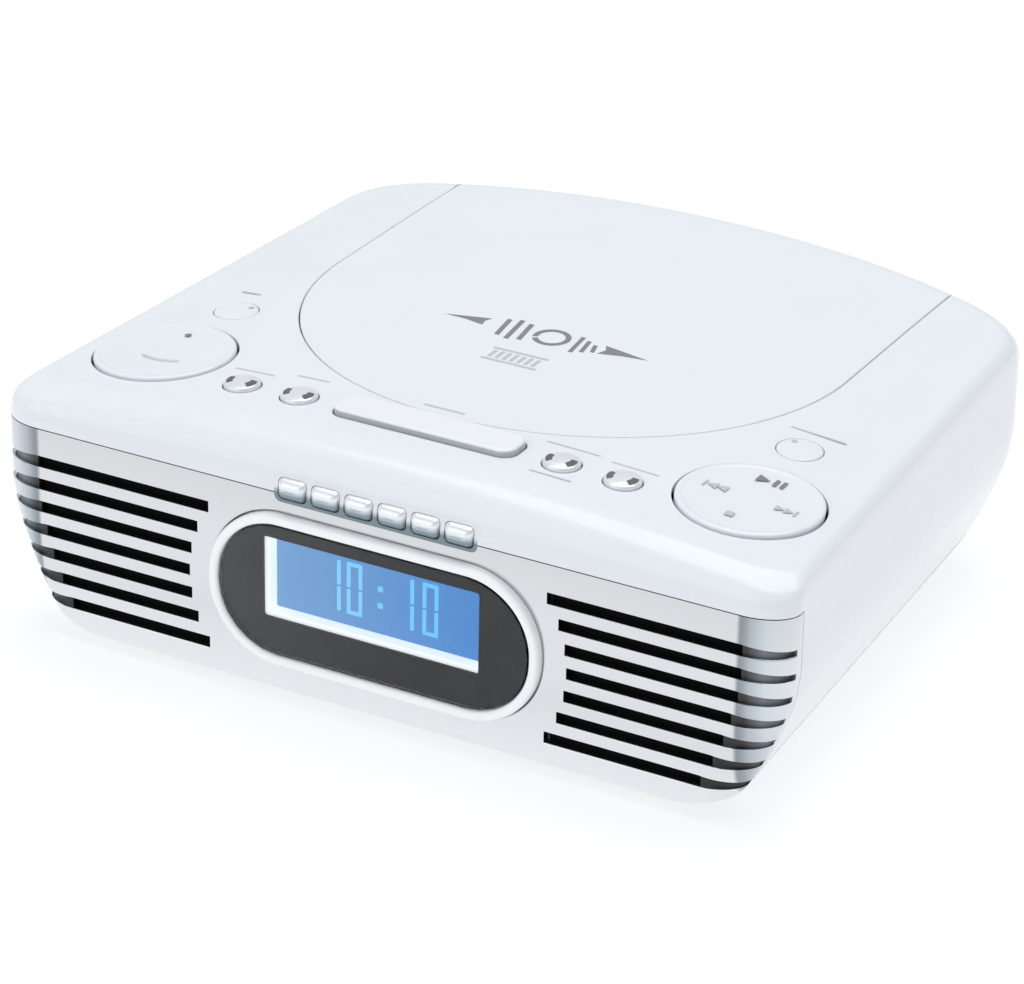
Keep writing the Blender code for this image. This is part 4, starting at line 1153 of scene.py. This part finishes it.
def make_marks():
    """Generic emblem and badge on the lid, and a stroke in front of it."""
    wings = [
        [(-33.0, -4.2), (-19.8, -0.9), (-20.9, -3.0), (-20.4, -5.9), (-26.5, -4.6)],
        [(29.3, -3.4), (15.2, -1.0), (16.6, -3.6), (15.5, -6.8), (22.0, -4.7)],
    ]
    glyph = [bar(-14.6 + 3.4 * i, -4.4, 1.5, 13.0 - 2.2 * abs(i - 1), -1.6) for i in range(3)]
    glyph += [arc((0.2, -4.0), 4.6, 20, 200, 1.6), arc((0.2, -4.0), 4.6, 210, 380, 1.6)]
    glyph += [bar(8.2 + 2.6 * i, -4.6, 1.3, 10.5 - 3.0 * i, -1.2) for i in range(3)]
    decal("emblem", wings + glyph, INK, "lid", "black_plastic")
    badge = [bar(-1.9, -17.6, 16.8, 1.1), bar(-1.9, -24.8, 16.8, 1.1)]
    badge += [bar(-8.6 + 2.2 * i, -21.2, 1.2, 4.6) for i in range(7)]
    decal("badge", badge, PALE_INK, "lid", "grey_plastic")
    decal("lid_mark", [bar(-2.1, -58.8, 12.4, 0.9)], PALE_INK, "body", "grey_plastic")


def pad_marks():
    """Transport symbols on the right pad, a dot and a stroke on the left one."""
    x, y = PAD_X, PAD_Y
    skip_back = [
        triangle(x - 11.2, y + 0.8, 3.2, -1), triangle(x - 8.4, y + 0.8, 3.2, -1),
        bar(x - 13.2, y + 0.8, 0.7, 3.2),
    ]
    skip_on = [
        triangle(x + 8.6, y - 0.4, 2.8, 1), triangle(x + 11.2, y - 0.4, 2.8, 1),
        bar(x + 13.0, y - 0.4, 0.7, 2.8),
    ]
    play = [
        triangle(x - 1.6, y + 11.4, 3.8, 1),
        bar(x + 1.8, y + 11.4, 1.1, 3.6), bar(x + 3.9, y + 11.4, 1.1, 3.6),
    ]
    stop = [bar(x - 0.6, y - 10.6, 2.4, 2.4)]
    dot = [arc((-x, y + 11.6), 0.5, 0, 359, 0.98)]
    line = [arc((-x + 1.6, y + 8), 14.0, 245, 295, 0.5)]
    dark, pale = (INK, "black_plastic"), (PALE_INK, "grey_plastic")
    for name, shapes, (ink, slot), pad in (
        ("pad_symbols_dark", play, dark, "pad_right"),
        ("pad_symbols", skip_back + skip_on + stop, pale, "pad_right"),
        ("pad_dot", dot, dark, "pad_left"),
        ("pad_line", line, pale, "pad_left"),
    ):
        decal(name, shapes, ink, pad, slot, PAD_PROUD)


def label_marks():
    """Strokes where the labels stand, a dot on each corner button and painted dark reflections on the
    silver ones.
    """
    strokes = [
        bar(-89.0, -14.4, 6.2, 0.7), bar(86.4, -16.8, 16.0, 0.7), bar(37.8, -61.4, 15.6, 0.7),
        bar(56.2, -62.6, 13.6, 0.7), bar(-58.2, -61.9, 12.0, 0.7), bar(-41.9, -58.9, 9.8, 0.7),
        bar(40.0, -78.4, 12.0, 0.6),
    ]
    decal("label_strokes", strokes, PALE_INK, "body", "grey_plastic")
    for side, word in SIDES:
        dot = arc((side * (CORNER_BUTTON[0] - 3.0), CORNER_BUTTON[1] + 3.0), 0.4, 0, 359, 0.78)
        decal("corner_dot_" + word, [dot], PALE_INK, "corner_button_" + word, "grey_plastic", 0.32)
    for i, x in enumerate(BUTTON_XS, 1):
        def dome(u, v, middle=x):
            return float(np.interp(math.hypot(u - middle, v - BUTTON_Y), *BUTTON_DOME)) + 0.16

        # painted dark reflections at the left and right of each silver dome, laid on its curve
        blobs = [arc((x, BUTTON_Y), 3.4, start, start + 58, 1.7) for start in (164, -42)]
        node = f"function_button_{i}"
        decal(f"button_painted_reflection_{i}", blobs, DARK_PAINTED_REFLECTION, node, "black_plastic", dome, 0.4)


# ---- display
SEGMENTS = {"0": "abcdef", "1": "bc"}


def make_digits():
    """Clock digits on the LCD: 10:10 from tall narrow segments."""
    face = cad_mm("lcd_panel")[0].y - 0.06
    top = LCD_Z + LCD_HALF[1] - 3.5
    tall, wide, stroke = 15.2, 4.7, 1.15
    gap = 0.25
    rects = []
    for left, figure in ((-16.8, "1"), (-10.3, "0"), (5.2, "1"), (12.4, "0")):
        right = left + wide
        lines = {
            "a": (left, top - stroke, right, top),
            "b": (right - stroke, top - tall / 2 + gap, right, top - gap),
            "c": (right - stroke, top - tall + gap, right, top - tall / 2 - gap),
            "d": (left, top - tall, right, top - tall + stroke),
            "e": (left, top - tall + gap, left + stroke, top - tall / 2 - gap),
            "f": (left, top - tall / 2 + gap, left + stroke, top - gap),
        }
        rects += [lines[letter] for letter in SEGMENTS[figure]]
    for v in (top - tall * 0.36, top - tall * 0.68):
        rects.append((-1.0, v - 0.8, 0.6, v + 0.8))
    bm = bmesh.new()
    for u0, v0, u1, v1 in rects:
        corners = rounded_rect((u1 - u0) / 2, (v1 - v0) / 2, 0.2, 3, ((u0 + u1) / 2, (v0 + v1) / 2))
        bm.faces.new([bm.verts.new((u * MM, face * MM, v * MM)) for u, v in corners])
    finish(from_bmesh("lcd_digits", bm), LCD_DIGIT, "body", "lcd_blue")


def make_window_parts():
    """Smoked mask with its painted reflection, and the white frame with a painted glow that shows
    inside its opening at the left and below.
    """
    hole = rounded_rect(LCD_HALF[0] + 0.8, LCD_HALF[1] + 0.7, 0.8, 6, (-0.8, LCD_Z - 0.7))
    mask = deep_prism("window_mask", stadium(-GAP), FRONT - 0.4, FRONT + 0.2)
    carve(mask, [(CUT, deep_prism("mask_hole", hole, FRONT - 10, FRONT + 10))])
    finish(mask, MASK, "body", "smoked_mask", "display_mask")
    inner = rounded_rect(*LCD_HALF, 0.6, 6, (0, LCD_Z))
    outer = rounded_rect(35.5, 12.9, 1.0, 6, (0, LCD_Z))
    lit = deep_prism("lcd_surround", outer, FRONT + 0.5, FRONT + 3.6)
    carve(lit, [(CUT, deep_prism("surround_hole", inner, FRONT - 10, FRONT + 10))])
    finish(lit, FRAME_PAINTED_GLOW, "body", "white_satin", "lcd_frame")


# ---- CAD nodes that stay
PAINTED = (
    (WHITE_SATIN, "battery_door disc_well well_floor"),
    (STEEL, "hinge_pin_left hinge_pin_right guide_rod_front guide_rod_rear spindle_motor sled_motor"),
    (STEEL, "housing_screw_1 housing_screw_2 housing_screw_3 housing_screw_4"),
    (WINDOW_CLEAR, "display_window"),
    (LENS_GLASS, "laser_lens"),
    (LCD_BLUE, "lcd_panel"),
    (CLOTH, "speaker_cloth_left speaker_cloth_right"),
    (PAPER, "speaker_cone_left speaker_cone_right"),
    (BLACK_PLASTIC, "speaker_basket_left speaker_basket_right disc_clamp turntable laser_sled"),
    (BLACK_PLASTIC, "deck_chassis pad_gimbal dc_inlet line_jack backup_battery"),
    (GREY_PLASTIC, "sled_gear motor_pinion"),
    (BOARD, "key_board main_board"),
    (RUBBER, "foot_1 foot_2 foot_3 foot_4"),
)


def paint_cad_nodes():
    for material, names in PAINTED:
        for name in names.split():
            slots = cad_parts[name].data.materials
            slots.clear()
            slots.append(material)


# ---- stage, light and camera
CAMERA_PLACE = Vector((0.519047, -0.984792, 0.572608))
CAMERA_AZIMUTH = math.radians(28.394)
CAMERA_ELEVATION = math.radians(26.104)
CAMERA_ROLL = math.radians(1.136)
CAMERA_LENS = 157.59
CAMERA_SENSOR = 36.0
FLOOR_SIZE = 6.0


def make_camera():
    a, e, roll = CAMERA_AZIMUTH, CAMERA_ELEVATION, CAMERA_ROLL
    back = Vector((math.sin(a) * math.cos(e), -math.cos(a) * math.cos(e), math.sin(e)))
    level = Vector((math.cos(a), math.sin(a), 0))
    upright = back.cross(level)
    right = level * math.cos(roll) + upright * math.sin(roll)
    up = upright * math.cos(roll) - level * math.sin(roll)
    data = bpy.data.cameras.new("camera")
    data.lens = CAMERA_LENS
    data.sensor_width = CAMERA_SENSOR
    data.clip_end = 50.0
    camera = link("camera", data)
    axes = Matrix((right, up, back)).transposed().to_4x4()
    camera.matrix_world = Matrix.Translation(CAMERA_PLACE) @ axes
    bpy.context.scene.camera = camera


def make_floor():
    """Pale floor that glows a little, so that it comes out near white."""
    bm = bmesh.new()
    bmesh.ops.create_grid(bm, x_segments=8, y_segments=8, size=FLOOR_SIZE)
    floor = from_bmesh("floor", bm)
    made, nodes, shader = new_material("pale_floor")
    cloud = noise(nodes, coordinates(nodes), 0.8)
    feed(shader, {
        "Base Color": blend_colours(nodes, cloud, (0.50, 0.505, 0.51), (0.515, 0.52, 0.525)),
        "Emission Color": (1.0, 1.0, 1.0, 1.0),
        "Emission Strength": 0.57,
        "Roughness": 0.9,
        "Specular IOR Level": 0.0,
    })
    floor.data.materials.append(made)


def soft_light(name, place, target, size, power):
    data = bpy.data.lights.new(name, "AREA")
    data.shape = "RECTANGLE"
    data.size, data.size_y = size
    data.energy = power
    light = link(name, data)
    light.location = place
    light.rotation_mode = "QUATERNION"
    light.rotation_quaternion = (Vector(target) - Vector(place)).to_track_quat("-Z", "Y")


def make_lights():
    """Soft boxes above and in front, in a pale room that is brighter on the left."""
    world = bpy.data.worlds.new("studio")
    bpy.context.scene.world = world
    world.use_nodes = True
    nodes = world.node_tree.nodes
    level = spread(nodes, one_axis(nodes, "X", "Generated"), 0.66, 0.50, -0.6, 0.8)
    feed(nodes["Background"], {"Color": (0.945, 0.97, 1.0, 1.0), "Strength": level})
    soft_light("top_softbox", (0.1, 0.2, 1.5), (0, 0, 0), (1.6, 1.4), 12.5)
    soft_light("front_softbox", (-0.8, -1.8, 0.9), (0, 0, 0.03), (2.4, 1.4), 7.0)
    scene = bpy.context.scene
    scene.view_settings.view_transform = "Standard"
    scene.view_settings.look = "None"


for make in (
    make_camera, make_top, make_base, make_fascia, make_bezel, make_lid, make_pads, make_buttons,
    make_snooze, make_front_keys, make_key_tray, make_marks, pad_marks, label_marks,
    make_window_parts, make_digits, paint_cad_nodes, make_floor, make_lights,
):
    make()
